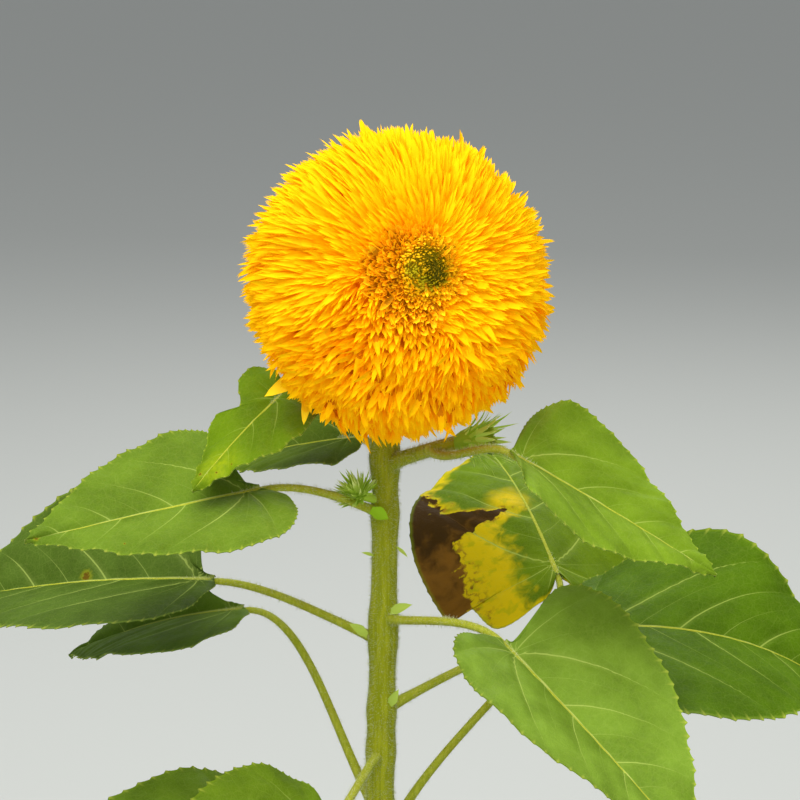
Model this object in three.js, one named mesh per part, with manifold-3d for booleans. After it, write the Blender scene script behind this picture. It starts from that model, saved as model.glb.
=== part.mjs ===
// A dwarf double-flowered sunflower: one hairy stem with its leaves, a side shoot with a bud,
// and a round full flower head. Millimetres, +Z up, origin at the foot of the stem.
import * as THREE from 'three';
import { mergeVertices } from 'three/addons/utils/BufferGeometryUtils.js';
import Module from 'manifold-3d';

const wasm = await Module();
wasm.setup();

// Driving dimensions, in millimetres and degrees
const CLEARANCE = 0.3;
const GOLDEN_ANGLE = 137.508;
const STEM = { footRadius: 7.6, waistHeight: 300, waistRadius: 5.9, topRadius: 5, flare: 1.8, flareHeight: 12 };
const HEAD = {
  centre: new THREE.Vector3(13, -35, 512),
  axis: new THREE.Vector3(0.291, -0.910, 0.296).normalize(),
  radius: 65,           // tips of the longest florets, across the axis
  front: 43,            // tips beside the disc, ahead of the centre
  floretLength: 9,      // how far a floret stands out of the packed core
  floretWidth: 5.2,
  floretThickness: 1.8,
  floretCount: 210,
  discRadius: 11.5,
  discBack: 36,
  coreBack: 15.7,
  neckBack: 30,         // face of the neck, behind the centre
  neckRadius: 5.4,
};
const BLADE = { thickness: 1.6, keel: 1.5, base: 0.06, shoulder: 0.2, neckHalf: 1.7, ribStart: 0.02 };
const PETIOLE = { radius: 1.9, endRadius: 1.5, collar: 1.3, collarShare: 0.1 };
const BRANCH = { nodeHeight: 426, azimuth: -40, rise: 25, end: [37, -22, 441], radius: 3, collar: 1.2 };
const SIDE_BUD = { axis: [0.93, -0.12, 0.3], cupRadius: 9, cupLength: 13, bracts: 18, bractLength: 23, bractWidth: 4.6 };
const AXIL_BUD = { centre: [-5, -4, 419.5], axis: [-0.7, -0.35, 0.62], domeRadius: 3.6, spread: 7.6, bracts: 18 };

// The leaves that are told apart, from the top down. A leaf's stalk leaves the stem at a node height
// and azimuth and rises at an angle; its blade starts at the junction of its veins. Width, lobe,
// belly and taper shape the outline, in blade lengths. The folds raise the left and right halves, and
// the lifts raise them further near the base.
const namedLeaves = [
  { name: 'crown_left', node: 447, azimuth: 205, rise: 20, junction: [-39, -22, 460.5], yaw: 227, pitch: -27,
    roll: 0, droop: 12, length: 59, width: 0.41, lobe: 0.25, belly: 0.55, taper: 0.8,
    fold: [-6, -8], lift: [0, 38] },
  { name: 'crown_back', node: 455, azimuth: 85, rise: 30, junction: [12, 46, 472], yaw: 82, pitch: -4,
    roll: 0, droop: 30, length: 78, width: 0.42, lobe: 0.25, belly: 0.57, taper: 0.8,
    fold: [12, 12], lift: [0, 0] },
  { name: 'crown_far_left', node: 432, azimuth: 150, rise: 10, junction: [-9.5, 15, 435], yaw: 163, pitch: -9,
    roll: -22, droop: 16, length: 70, width: 0.42, lobe: 0.24, belly: 0.58, taper: 0.8,
    fold: [12, 10], lift: [0, 0] },
  { name: 'upper_left', node: 404, azimuth: 205, rise: 25, junction: [-51, -38, 424], yaw: 202, pitch: -6,
    roll: -30, droop: 4, length: 97, width: 0.4, lobe: 0.28, belly: 0.57, taper: 0.87,
    fold: [14, 3], lift: [-3, 3] },
  { name: 'front_right', node: 357, azimuth: -62, rise: 8, junction: [61.5, -55, 358], yaw: -46, pitch: -29,
    roll: 4, droop: 4, length: 116.5, width: 0.41, lobe: 0.23, belly: 0.59, taper: 0.87,
    fold: [19, 18], lift: [8, 0] },
  { name: 'left', node: 346, azimuth: 172, rise: 22, junction: [-76.5, 15, 370.5], yaw: 160, pitch: -4,
    roll: -29, droop: 17, length: 138, width: 0.43, lobe: 0.23, belly: 0.61, taper: 0.81,
    fold: [22, 22], lift: [3, 0] },
  { name: 'right', node: 314, azimuth: 22, rise: 22, junction: [103, 28, 344], yaw: -8, pitch: 8,
    roll: 28, droop: 60, length: 132, width: 0.5, lobe: 0.19, belly: 0.66, taper: 0.78,
    fold: [12, 9], lift: [-30, 4] },
  { name: 'front_left', node: 295, azimuth: 250, rise: -4, junction: [-21.5, -62, 280], yaw: 236, pitch: -13,
    roll: -26, droop: 8, length: 115, width: 0.41, lobe: 0.23, belly: 0.49, taper: 0.74,
    fold: [30, 8], lift: [0, 4] },
  { name: 'far_left', node: 265, azimuth: 145, rise: 50, junction: [-63, 40, 349], yaw: 153, pitch: -12,
    roll: -24, droop: 22, length: 104, width: 0.42, lobe: 0.24, belly: 0.58, taper: 0.8,
    fold: [16, 14], lift: [0, 0] },
  { name: 'far_right', node: 242, azimuth: 66, rise: 50, junction: [85.5, 78, 360], yaw: 104, pitch: 26,
    roll: -3, droop: 27, length: 130, width: 0.47, lobe: 0.34, belly: 0.6, taper: 0.77,
    fold: [-8, -19], lift: [-20, -15] },
];
const shootLeaf = { name: 'shoot', branchShare: 0.7, azimuth: -70, rise: -20, junction: [64.5, -45, 440],
  yaw: -15, pitch: -26.5, roll: 18, droop: 5, length: 94.5, width: 0.42, lobe: 0.18, belly: 0.54, taper: 0.79,
  fold: [3, 6.5], lift: [11, 19.5] };

// The lower leaves follow one spiral down the stem: long stalks and broad drooping blades in the
// middle, short ones at the foot.
const LOWER = { count: 7, topNode: 216, spacing: 24.5, firstAzimuth: 197.5, rise: 34, broadest: 134, smallest: 74 };
const lowerLeaves = Array.from({ length: LOWER.count }, (_, i) => {
  const share = i / (LOWER.count - 1);
  const size = THREE.MathUtils.lerp(LOWER.broadest, LOWER.smallest, share ** 1.6);
  const node = LOWER.topNode - i * LOWER.spacing;
  const azimuth = LOWER.firstAzimuth + i * GOLDEN_ANGLE;
  const reach = 0.58 * size;
  const out = heading(azimuth + 4, LOWER.rise - 8 * share);
  return { name: `lower_${i + 1}`, node, azimuth, rise: LOWER.rise + 6, junctionFrom: out.multiplyScalar(reach),
    yaw: azimuth + 6, pitch: -8 - 6 * share, roll: (i % 2 ? 7 : -7), droop: 34, length: size, width: 0.43,
    lobe: 0.24, belly: 0.57, taper: 0.8, fold: [14, 12], lift: [2, 4] };
});

// Small leaflets in the angles of the upper stalks: height, azimuth, rise and length
const leafletPlaces = [
  { height: 411, azimuth: 250, rise: 6, length: 10 },
  { height: 364, azimuth: -44, rise: 38, length: 12 },
  { height: 353, azimuth: 206, rise: 42, length: 11 },
  { height: 322, azimuth: -20, rise: 55, length: 11 },
];

const colours = {
  stem: 0x8f9a3c, stalk: 0x929a3a, blade: 0x7f9e38, farBlade: 0x5f8124, oldBlade: 0x96902a, bract: 0x6c8a26,
  floret: 0xfbb905, disc: 0xa8861a, budFloret: 0xe0c21c,
};

function heading(azimuth, rise) {
  const a = THREE.MathUtils.degToRad(azimuth);
  const r = THREE.MathUtils.degToRad(rise);
  return new THREE.Vector3(Math.cos(a) * Math.cos(r), Math.sin(a) * Math.cos(r), Math.sin(r));
}

// Moves every vertex of a closed geometry through a map, then joins the vertices that meet and drops
// the faces that the map has closed up.
function mapped(geometry, map) {
  const shape = geometry.clone();
  shape.deleteAttribute('normal');
  shape.deleteAttribute('uv');
  const position = shape.attributes.position;
  for (let i = 0; i < position.count; i += 1) {
    const p = map(new THREE.Vector3().fromBufferAttribute(position, i));
    position.setXYZ(i, p.x, p.y, p.z);
  }
  const merged = mergeVertices(shape, 1e-3);
  const index = merged.index.array;
  const kept = [];
  for (let i = 0; i < index.length; i += 3) {
    const [a, b, c] = [index[i], index[i + 1], index[i + 2]];
    if (a !== b && b !== c && c !== a) kept.push(a, b, c);
  }
  merged.setIndex(kept);
  return merged;
}

function toSolid(geometry) {
  const mesh = new wasm.Mesh({
    numProp: 3,
    vertProperties: new Float32Array(geometry.attributes.position.array),
    triVerts: new Uint32Array(geometry.index.array),
  });
  return new wasm.Manifold(mesh);
}

function toGeometry(solid) {
  const mesh = solid.getMesh();
  const geometry = new THREE.BufferGeometry();
  geometry.setAttribute('position', new THREE.BufferAttribute(new Float32Array(mesh.vertProperties), 3));
  geometry.setIndex(new THREE.BufferAttribute(new Uint32Array(mesh.triVerts), 1));
  return geometry;
}

// A tapering limb along a curve, with flat ends
function limb(curve, radiusAt, sides, steps, reference = new THREE.Vector3(0, 0, 1)) {
  return mapped(new THREE.CylinderGeometry(1, 1, 1, sides, steps), (v) => {
    const share = v.y + 0.5;
    const tangent = curve.getTangent(share);
    const across = reference.clone().addScaledVector(tangent, -reference.dot(tangent)).normalize();
    const over = new THREE.Vector3().crossVectors(across, tangent);
    const radius = radiusAt(share, curve.getPoint(share));
    return curve.getPoint(share).addScaledVector(across, v.x * radius).addScaledVector(over, v.z * radius);
  });
}

// A flattened blade that tapers to a point: start, direction of its length, and its flat side
function pointedBlade({ base, direction, flat, length, width, thickness, bend = 0, steps = 1, belly = 1 }) {
  const along = direction.clone().normalize();
  const face = flat.clone().addScaledVector(along, -flat.dot(along)).normalize();
  const across = new THREE.Vector3().crossVectors(face, along);
  return mapped(new THREE.BoxGeometry(1, 1, 1, steps, 1, 1), (v) => {
    const share = v.x + 0.5;
    const half = (width / 2) * (1 - share ** 2) * (1 + (belly - 1) * Math.sin(Math.PI * share));
    return base.clone()
      .addScaledVector(along, length * share)
      .addScaledVector(face, bend * share * share + v.z * thickness * (1 - 0.6 * share))
      .addScaledVector(across, v.y * 2 * half);
  });
}

// Leaf rule: the frame of a blade, its outline and its surface
function leafFrame({ yaw, pitch, roll }) {
  const along = heading(yaw, pitch);
  const a = THREE.MathUtils.degToRad(yaw);
  const level = new THREE.Vector3(-Math.sin(a), Math.cos(a), 0);
  const upright = new THREE.Vector3().crossVectors(along, level);
  const r = THREE.MathUtils.degToRad(roll);
  const side = level.clone().multiplyScalar(Math.cos(r)).addScaledVector(upright, Math.sin(r));
  const normal = level.clone().multiplyScalar(-Math.sin(r)).addScaledVector(upright, Math.cos(r));
  return { along, side, normal };
}

function leafEdge(leaf) {
  const neck = BLADE.neckHalf / leaf.length;
  const point = (x, y) => new THREE.Vector2(x, y);
  const lobe = new THREE.CubicBezierCurve(point(-BLADE.base, neck), point(-0.1, 0.1),
    point(-leaf.lobe, leaf.width), point(BLADE.shoulder, leaf.width));
  const flank = new THREE.CubicBezierCurve(point(BLADE.shoulder, leaf.width), point(leaf.belly, leaf.width),
    point(leaf.taper, 0.1), point(1, 0));
  const lobeShare = 0.4;
  return (t) => {
    if (t < lobeShare) {
      const u = t / lobeShare;
      return { rib: THREE.MathUtils.lerp(-BLADE.base, BLADE.ribStart, u), edge: lobe.getPoint(u) };
    }
    const u = (t - lobeShare) / (1 - lobeShare);
    return { rib: THREE.MathUtils.lerp(BLADE.ribStart, 1, u), edge: flank.getPoint(u) };
  };
}

// Point of a blade at x along its rib and y to its left, both in blade lengths, and its normal there
function leafSurface(leaf, frame, junction, x, y) {
  const bend = THREE.MathUtils.degToRad(leaf.droop);
  const run = Math.max(x, 0);
  const forward = x > 0 ? Math.sin(bend * run) / bend : x;
  const sink = -(1 - Math.cos(bend * run)) / bend;
  const near = 1 - THREE.MathUtils.smoothstep(x, 0, 0.55);
  const half = y > 0 ? 0 : 1;
  const fold = THREE.MathUtils.degToRad(leaf.fold[half] + leaf.lift[half] * near);
  const normal = frame.normal.clone().multiplyScalar(Math.cos(bend * run))
    .addScaledVector(frame.along, Math.sin(bend * run));
  const raised = Math.abs(y) * Math.sin(fold);
  const point = junction.clone()
    .addScaledVector(frame.along, leaf.length * forward)
    .addScaledVector(frame.normal, leaf.length * sink)
    .addScaledVector(normal, leaf.length * raised)
    .addScaledVector(frame.side, leaf.length * y * Math.cos(fold));
  return { point, normal };
}

function bladeGeometry(leaf, junction, stations = 10, strips = 4) {
  const frame = leafFrame(leaf);
  const edgeAt = leafEdge(leaf);
  return mapped(new THREE.BoxGeometry(1, 1, 1, stations, strips, 1), (v) => {
    const { rib, edge } = edgeAt(v.x + 0.5);
    const across = 2 * v.y;
    const x = THREE.MathUtils.lerp(rib, edge.x, Math.abs(across));
    const { point, normal } = leafSurface(leaf, frame, junction, x, across * edge.y);
    const onRib = Math.abs(across) < 1e-6;
    const depth = BLADE.thickness + (onRib ? BLADE.keel * (1 - Math.max(x, 0)) : 0);
    return v.z > 0 ? point : point.addScaledVector(normal, -depth);
  });
}

// The main stem rises almost upright, leans back a little under the head and bends into it
const neckEnd = HEAD.centre.clone().addScaledVector(HEAD.axis, -(HEAD.neckBack + CLEARANCE));
const neckStart = neckEnd.clone().addScaledVector(HEAD.axis, -9);
const stemCurve = new THREE.CatmullRomCurve3([
  new THREE.Vector3(0, 0, 0), new THREE.Vector3(0, 0, 35), new THREE.Vector3(2, 0.5, 150),
  new THREE.Vector3(5, 0, 296), new THREE.Vector3(7, 0.5, 430), new THREE.Vector3(5.5, 5, 466),
  new THREE.Vector3(2.5, 9, 488), neckStart, neckEnd,
]);

function stemRadius(height) {
  const { footRadius, waistHeight, waistRadius, topRadius, flare, flareHeight } = STEM;
  const low = THREE.MathUtils.mapLinear(Math.min(height, waistHeight), 0, waistHeight, footRadius, waistRadius);
  const high = THREE.MathUtils.mapLinear(Math.max(height, waistHeight), waistHeight, neckEnd.z, 0, 1);
  return low - high * (waistRadius - topRadius) + flare * Math.exp(-height / flareHeight);
}

function stemGeometry(grow = 0) {
  return limb(stemCurve, (share, p) => stemRadius(p.z) + grow, 12, 30, new THREE.Vector3(1, 0, 0));
}

// Centre of the stem at a height, by halving
function stemCentre(height) {
  let [low, high] = [0, 0.93];
  for (let i = 0; i < 30; i += 1) {
    const middle = (low + high) / 2;
    if (stemCurve.getPoint(middle).z < height) low = middle;
    else high = middle;
  }
  return stemCurve.getPoint(low);
}

const stemCutter = toSolid(stemGeometry(CLEARANCE));

// The side shoot grows from the stem's right side and carries a bud and one leaf
const branchStart = stemCentre(BRANCH.nodeHeight);
const branchEnd = new THREE.Vector3(...BRANCH.end);
const budAxis = new THREE.Vector3(...SIDE_BUD.axis).normalize();
const branchCurve = new THREE.CubicBezierCurve3(
  branchStart,
  branchStart.clone().addScaledVector(heading(BRANCH.azimuth, BRANCH.rise), 18),
  branchEnd.clone().addScaledVector(budAxis, -14),
  branchEnd,
);
const branchRadius = (share) => BRANCH.radius + BRANCH.collar * Math.exp(-share * 7);

function branchGeometry(grow = 0) {
  return limb(branchCurve, (share) => branchRadius(share) + grow, 8, 8);
}

const branchCutter = toSolid(branchGeometry(CLEARANCE));

function stalkSolid(start, leaf, junction, grow = 0) {
  const frame = leafFrame(leaf);
  const size = Math.min(1, 0.55 + leaf.length / 220);
  const end = junction.clone()
    .addScaledVector(frame.along, -BLADE.base * leaf.length - CLEARANCE)
    .addScaledVector(frame.normal, -BLADE.thickness * 0.75);
  const reach = end.distanceTo(start);
  const curve = new THREE.CubicBezierCurve3(
    start,
    start.clone().addScaledVector(heading(leaf.azimuth, leaf.rise), reach * 0.36),
    end.clone().addScaledVector(frame.along, -reach * 0.3),
    end,
  );
  const radiusAt = (share) => size * (THREE.MathUtils.lerp(PETIOLE.radius, PETIOLE.endRadius, share ** 3)
    + PETIOLE.collar * Math.exp(-share / PETIOLE.collarShare));
  return toSolid(limb(curve, (share) => radiusAt(share) + grow, 7, 9));
}

// Radius of the flower head's tips and of its packed core, at an angle from the head's axis
function tipRadius(angle) {
  const side = THREE.MathUtils.smoothstep(angle, 0, 88);
  const back = THREE.MathUtils.smoothstep(angle, 92, 140);
  return THREE.MathUtils.lerp(HEAD.front, HEAD.radius, side) - 9 * back;
}

const coreRadius = (angle) => tipRadius(angle) - HEAD.floretLength;

function onHead(radius, angle, around = 0) {
  const a = THREE.MathUtils.degToRad(angle);
  const b = THREE.MathUtils.degToRad(around);
  return new THREE.Vector3(radius * Math.sin(a) * Math.cos(b), radius * Math.sin(a) * Math.sin(b), radius * Math.cos(a));
}

// LatheGeometry turns about Y; the heads and buds are turned about Z
function turned(profile, segments) {
  const lathe = new THREE.LatheGeometry(profile.map(([r, z]) => new THREE.Vector2(r, z)), segments);
  return mapped(lathe, (v) => new THREE.Vector3(v.x, -v.z, v.y));
}

function fused(geometries) {
  return toGeometry(wasm.Manifold.union(geometries.map(toSolid)));
}

// Sets a geometry that is modelled about +Z at a place, turned to an axis
function placer(place, axis) {
  const turn = new THREE.Quaternion().setFromUnitVectors(new THREE.Vector3(0, 0, 1), axis);
  return (geometry) => geometry.applyQuaternion(turn).translate(place.x, place.y, place.z);
}

// The pieces of a bud that keep clear of a neighbour
function clearOf(geometries, neighbour) {
  return geometries.filter((geometry) => toSolid(geometry).intersect(neighbour).volume() === 0);
}

function floretsGeometry() {
  const [frontAngle, backAngle, rows] = [18, 116, 8];
  const rim = Array.from({ length: rows + 1 }, (_, i) => {
    const p = onHead(1, THREE.MathUtils.lerp(backAngle, frontAngle, i / rows));
    const radius = coreRadius(THREE.MathUtils.lerp(backAngle, frontAngle, i / rows));
    return [p.x * radius, p.z * radius];
  });
  const core = turned([[0, -HEAD.coreBack], [24, -HEAD.coreBack], ...rim,
    [HEAD.discRadius, HEAD.discBack], [0, HEAD.discBack]], 22);
  const florets = Array.from({ length: HEAD.floretCount }, (_, i) => {
    const level = THREE.MathUtils.lerp(Math.cos(THREE.MathUtils.degToRad(frontAngle + 4)),
      Math.cos(THREE.MathUtils.degToRad(backAngle - 3)), (i + 0.5) / HEAD.floretCount);
    const angle = THREE.MathUtils.radToDeg(Math.acos(level));
    const around = i * GOLDEN_ANGLE;
    const lean = 3;
    const base = onHead(coreRadius(angle) - 3.2, angle, around);
    const tip = onHead(tipRadius(angle + lean), angle + lean, around);
    const direction = tip.clone().sub(base);
    return pointedBlade({ base, direction, flat: onHead(1, angle - 90, around), length: direction.length(),
      width: HEAD.floretWidth * (0.62 + 0.38 * Math.min(1, angle / 60)), thickness: HEAD.floretThickness });
  });
  return fused([core, ...florets]);
}

function discGeometry() {
  const edge = HEAD.discRadius - CLEARANCE;
  const back = HEAD.discBack + CLEARANCE;
  return turned([[0, back], [edge, back], [edge, back + 3], [8.5, back + 5], [4.5, back + 4], [0, back + 2.4]], 16);
}

// The green back of the head: the stem widens into a cup, and pointed bracts in three rows spread
// from its rim under the florets
function involucreGeometry() {
  const front = -HEAD.coreBack - CLEARANCE;
  const cup = turned([[0, -HEAD.neckBack], [HEAD.neckRadius, -HEAD.neckBack], [9, -27.5], [17, -23.5],
    [23, -18.8], [23, front], [0, front]], 18);
  const bracts = Array.from({ length: 24 }, (_, i) => {
    const around = i * GOLDEN_ANGLE;
    const row = i % 3;
    const out = onHead(1, 90, around);
    const back = new THREE.Vector3(0, 0, -1);
    const base = out.clone().multiplyScalar(15 - row * 2.5).addScaledVector(back, 20.5 + row * 1.6);
    const direction = out.clone().addScaledVector(back, 0.36 + row * 0.16);
    return pointedBlade({ base, direction, flat: back, length: 33 - row * 2, width: 9.5, thickness: 1.2,
      bend: -1.5 + row * 2, steps: 3, belly: 1.15 });
  });
  return fused([cup, ...bracts]);
}

// The half-open bud: a green cup with long pointed bracts round a tuft of young florets
function sideBudBractsGeometry(place, neighbour) {
  const { cupRadius, cupLength, bracts, bractLength, bractWidth } = SIDE_BUD;
  const cup = turned([[0, CLEARANCE], [3.1, CLEARANCE], [6.5, 3.5], [cupRadius, 8], [cupRadius, 11],
    [cupRadius - 1.4, cupLength], [0, cupLength]], 14);
  const blades = Array.from({ length: bracts }, (_, i) => {
    const around = i * GOLDEN_ANGLE;
    const inner = i / bracts;
    const out = onHead(1, 90, around);
    const base = out.clone().multiplyScalar(cupRadius - 2.4).add(new THREE.Vector3(0, 0, 3.5 + 6 * inner));
    const direction = onHead(1, 58 - 30 * inner, around);
    return pointedBlade({ base, direction, flat: out, length: bractLength * (0.86 + 0.14 * inner),
      width: bractWidth, thickness: 1, bend: 1.5 + 1.5 * inner, steps: 2, belly: 1.1 });
  });
  return fused([place(cup), ...clearOf(blades.map(place), neighbour)]);
}

function sideBudFloretsGeometry(place) {
  const floor = SIDE_BUD.cupLength + CLEARANCE;
  const dome = turned([[0, floor], [5, floor], [5, floor + 3], [3.4, floor + 5.4], [0, floor + 6.4]], 12);
  const tufts = Array.from({ length: 12 }, (_, i) => {
    const direction = onHead(1, 8 + 17 * Math.sqrt(i / 12), i * GOLDEN_ANGLE);
    const base = onHead(3.2 * Math.sqrt(i / 12), 90, i * GOLDEN_ANGLE).add(new THREE.Vector3(0, 0, floor + 3));
    return pointedBlade({ base, direction, flat: onHead(1, 90, i * GOLDEN_ANGLE), length: 8, width: 2.6,
      thickness: 1 });
  });
  return fused([dome, ...tufts].map(place));
}

// The small closed bud in the angle of the upper left stalk, on a short stalk of its own
function axilBudGeometry(neighbour) {
  const centre = new THREE.Vector3(...AXIL_BUD.centre);
  const place = placer(centre, new THREE.Vector3(...AXIL_BUD.axis).normalize());
  const dome = place(mapped(new THREE.IcosahedronGeometry(AXIL_BUD.domeRadius, 1), (v) => v));
  const bracts = Array.from({ length: AXIL_BUD.bracts }, (_, i) => {
    const share = (i + 0.5) / AXIL_BUD.bracts;
    const direction = onHead(1, 12 + 82 * Math.sqrt(share), i * GOLDEN_ANGLE);
    const base = direction.clone().multiplyScalar(AXIL_BUD.domeRadius - 1.6);
    return place(pointedBlade({ base, direction, flat: onHead(1, 0), length: AXIL_BUD.spread - 2, width: 2,
      thickness: 0.9 }));
  });
  const root = stemCentre(AXIL_BUD.centre[2] - 4);
  const stalk = limb(new THREE.LineCurve3(root, centre), () => 1.7, 6, 2);
  const bud = wasm.Manifold.union([dome, stalk, ...clearOf(bracts, neighbour)].map(toSolid));
  return toGeometry(bud.subtract(stemCutter));
}

function leafletGeometry({ height, azimuth, rise, length }) {
  const start = stemCentre(height);
  const direction = heading(azimuth, rise);
  const base = start.addScaledVector(direction, 3);
  const blade = pointedBlade({ base, direction, flat: new THREE.Vector3(0, 0, 1), length: length + 3,
    width: 5.5, thickness: 1, bend: -1, steps: 3, belly: 1.2 });
  return toGeometry(toSolid(blade).subtract(stemCutter));
}

function finish(colour, roughness) {
  return new THREE.MeshStandardMaterial({ color: colour, roughness, metalness: 0, side: THREE.FrontSide });
}

function named(name, geometry, colour, roughness = 0.7) {
  const mesh = new THREE.Mesh(geometry, finish(colour, roughness));
  mesh.name = name;
  return mesh;
}


const plant = new THREE.Group();
plant.add(named('main_stem', stemGeometry(), colours.stem));
plant.add(named('side_branch', toGeometry(toSolid(branchGeometry()).subtract(stemCutter)), colours.stem));

for (const leaf of [...namedLeaves, ...lowerLeaves]) {
  const start = stemCentre(leaf.node);
  const junction = leaf.junction ? new THREE.Vector3(...leaf.junction) : start.clone().add(leaf.junctionFrom);
  const bladeColour = leaf.name === 'far_right' ? colours.oldBlade : colours.blade;
  const stalk = stalkSolid(start, leaf, junction).subtract(stemCutter);
  plant.add(named(`petiole_${leaf.name}`, toGeometry(stalk), colours.stalk));
  plant.add(named(`blade_${leaf.name}`, bladeGeometry(leaf, junction), bladeColour, 0.6));
  if (leaf.name === 'upper_left') {
    const neighbour = stalkSolid(start, leaf, junction, CLEARANCE);
    plant.add(named('axil_bud', axilBudGeometry(neighbour), colours.bract));
  }
}

const shootJunction = new THREE.Vector3(...shootLeaf.junction);
const shootStart = branchCurve.getPoint(shootLeaf.branchShare);
const shootStalk = stalkSolid(shootStart, shootLeaf, shootJunction).subtract(branchCutter);
plant.add(named('petiole_shoot', toGeometry(shootStalk), colours.stalk));
plant.add(named('blade_shoot', bladeGeometry(shootLeaf, shootJunction), colours.blade, 0.6));

const onBranch = placer(branchEnd, budAxis);
const besideBud = stalkSolid(shootStart, shootLeaf, shootJunction, CLEARANCE);
plant.add(named('side_bud_bracts', sideBudBractsGeometry(onBranch, besideBud), colours.bract));
plant.add(named('side_bud_florets', sideBudFloretsGeometry(onBranch), colours.budFloret));

leafletPlaces.forEach((place, i) => {
  plant.add(named(`leaflet_${i + 1}`, leafletGeometry(place), colours.bract));
});

// The flower head is modelled about +Z and turned as one to face outwards
const head = new THREE.Group();
head.position.copy(HEAD.centre);
head.quaternion.setFromUnitVectors(new THREE.Vector3(0, 0, 1), HEAD.axis);
head.add(
  named('head_involucre', involucreGeometry(), colours.bract),
  named('head_florets', floretsGeometry(), colours.floret, 0.55),
  named('head_disc', discGeometry(), colours.disc),
);
plant.add(head);

export default plant;
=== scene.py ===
import math

import bpy
import numpy as np
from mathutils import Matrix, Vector


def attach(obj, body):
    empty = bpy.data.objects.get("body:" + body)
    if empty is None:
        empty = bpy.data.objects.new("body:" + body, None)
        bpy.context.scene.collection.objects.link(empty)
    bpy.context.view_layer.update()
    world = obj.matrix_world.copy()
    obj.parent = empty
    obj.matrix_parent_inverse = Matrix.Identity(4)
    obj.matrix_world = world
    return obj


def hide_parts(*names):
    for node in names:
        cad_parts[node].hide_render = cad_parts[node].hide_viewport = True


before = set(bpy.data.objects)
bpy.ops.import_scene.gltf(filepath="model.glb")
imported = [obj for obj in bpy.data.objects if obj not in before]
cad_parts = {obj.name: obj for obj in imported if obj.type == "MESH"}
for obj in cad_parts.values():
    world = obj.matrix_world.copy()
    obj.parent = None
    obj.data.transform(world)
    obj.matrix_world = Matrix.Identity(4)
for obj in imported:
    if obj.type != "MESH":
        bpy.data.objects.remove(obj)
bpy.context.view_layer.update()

# Main stem
# One green stem, ribbed along its length and swollen a little at each stalk. It rises from the
# ground, leans back under the head and bends forward into it. Millimetres, +Z up, as all sizes here.
GOLDEN_ANGLE = 137.508
CLEARANCE = 0.3
FOOT_RADIUS, WAIST_HEIGHT, WAIST_RADIUS, TOP_RADIUS = 7.6, 300, 5.9, 5
FOOT_FLARE, FLARE_HEIGHT = 1.8, 12
HEAD_CENTRE = np.array([13.0, -35.0, 512.0])
HEAD_AXIS = np.array([0.291, -0.910, 0.296]) / np.linalg.norm([0.291, -0.910, 0.296])
NECK_BACK, NECK_STRAIGHT, RISING_SHARE = 30, 9, 0.93
STALK_NODES = [447, 455, 432, 404, 357, 346, 314, 295, 265, 242, 426]
NODE_SWELLING, NODE_REACH = 0.9, 7
STEM_ROWS, STEM_SIDES, STEM_RIBS, STEM_RELIEF = 330, 64, 9, 0.022
STEM_GREENS = [(148, 156, 16), (176, 180, 36), (150, 150, 22)]
HAIR_DOT = (176, 182, 84)


def lerp(low, high, share):
    return low + (high - low) * share


def smooth(value, low, high):
    share = np.clip((value - low) / (high - low), 0, 1)
    return share * share * (3 - 2 * share)


def unit(vectors):
    return vectors / np.linalg.norm(vectors, axis=-1, keepdims=True)


def heading(azimuth, rise):
    """Directions from their azimuth and their rise above the level, in degrees."""
    a, r = np.radians(azimuth), np.radians(rise)
    return np.stack(np.broadcast_arrays(np.cos(a) * np.cos(r), np.sin(a) * np.cos(r), np.sin(r)), axis=-1)


def bezier(ends, share):
    """Points of a cubic curve; ends are its four control points."""
    s = np.asarray(share, float)[..., None]
    a, b, c, d = (np.asarray(p, float) for p in ends)
    return (1 - s) ** 3 * a + 3 * s * (1 - s) ** 2 * b + 3 * s * s * (1 - s) * c + s ** 3 * d


def through(knots, share):
    """Points of a centripetal curve through knots, at shares of its knot count."""
    knots = np.asarray(knots, float)
    padded = np.vstack([2 * knots[0] - knots[1], knots, 2 * knots[-1] - knots[-2]])
    place = np.clip(np.asarray(share, float), 0, 1) * (len(knots) - 1)
    first = np.minimum(place.astype(int), len(knots) - 2)
    p0, p1, p2, p3 = (padded[first + i] for i in range(4))
    spans = ((p0, p1), (p1, p2), (p2, p3))
    d0, d1, d2 = (np.linalg.norm(b - a, axis=-1, keepdims=True) ** 0.5 for a, b in spans)
    t1 = ((p1 - p0) / d0 - (p2 - p0) / (d0 + d1) + (p2 - p1) / d1) * d1
    t2 = ((p2 - p1) / d1 - (p3 - p1) / (d1 + d2) + (p3 - p2) / d2) * d1
    u = (place - first)[..., None]
    return p1 + t1 * u + (3 * (p2 - p1) - 2 * t1 - t2) * u * u + (2 * (p1 - p2) + t1 + t2) * u ** 3


def grid_faces(rows, columns, closed=False):
    """Triangles of a grid of points; a closed grid joins its last column to its first."""
    i = np.arange(rows - 1)[:, None]
    j = np.arange(columns if closed else columns - 1)[None, :]
    k = (j + 1) % columns
    this, above = i * columns, (i + 1) * columns
    a, b, c, d = (np.ravel(v) for v in (this + j, above + j, above + k, this + k))
    return np.stack([a, b, c, a, c, d], axis=-1).reshape(-1, 3)


def capped(rings):
    """A closed skin over rings of points, with a middle point in its first and last ring."""
    rows, sides, _ = rings.shape
    j = np.arange(sides)
    k = (j + 1) % sides
    first, last = np.full(sides, rows * sides), np.full(sides, rows * sides + 1)
    end = (rows - 1) * sides
    caps = np.vstack([np.stack([first, j, k], -1), np.stack([last, end + k, end + j], -1)])
    points = np.vstack([rings.reshape(-1, 3), rings[:1].mean(1), rings[-1:].mean(1)])
    return points, np.vstack([grid_faces(rows, sides, True), caps])


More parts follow.
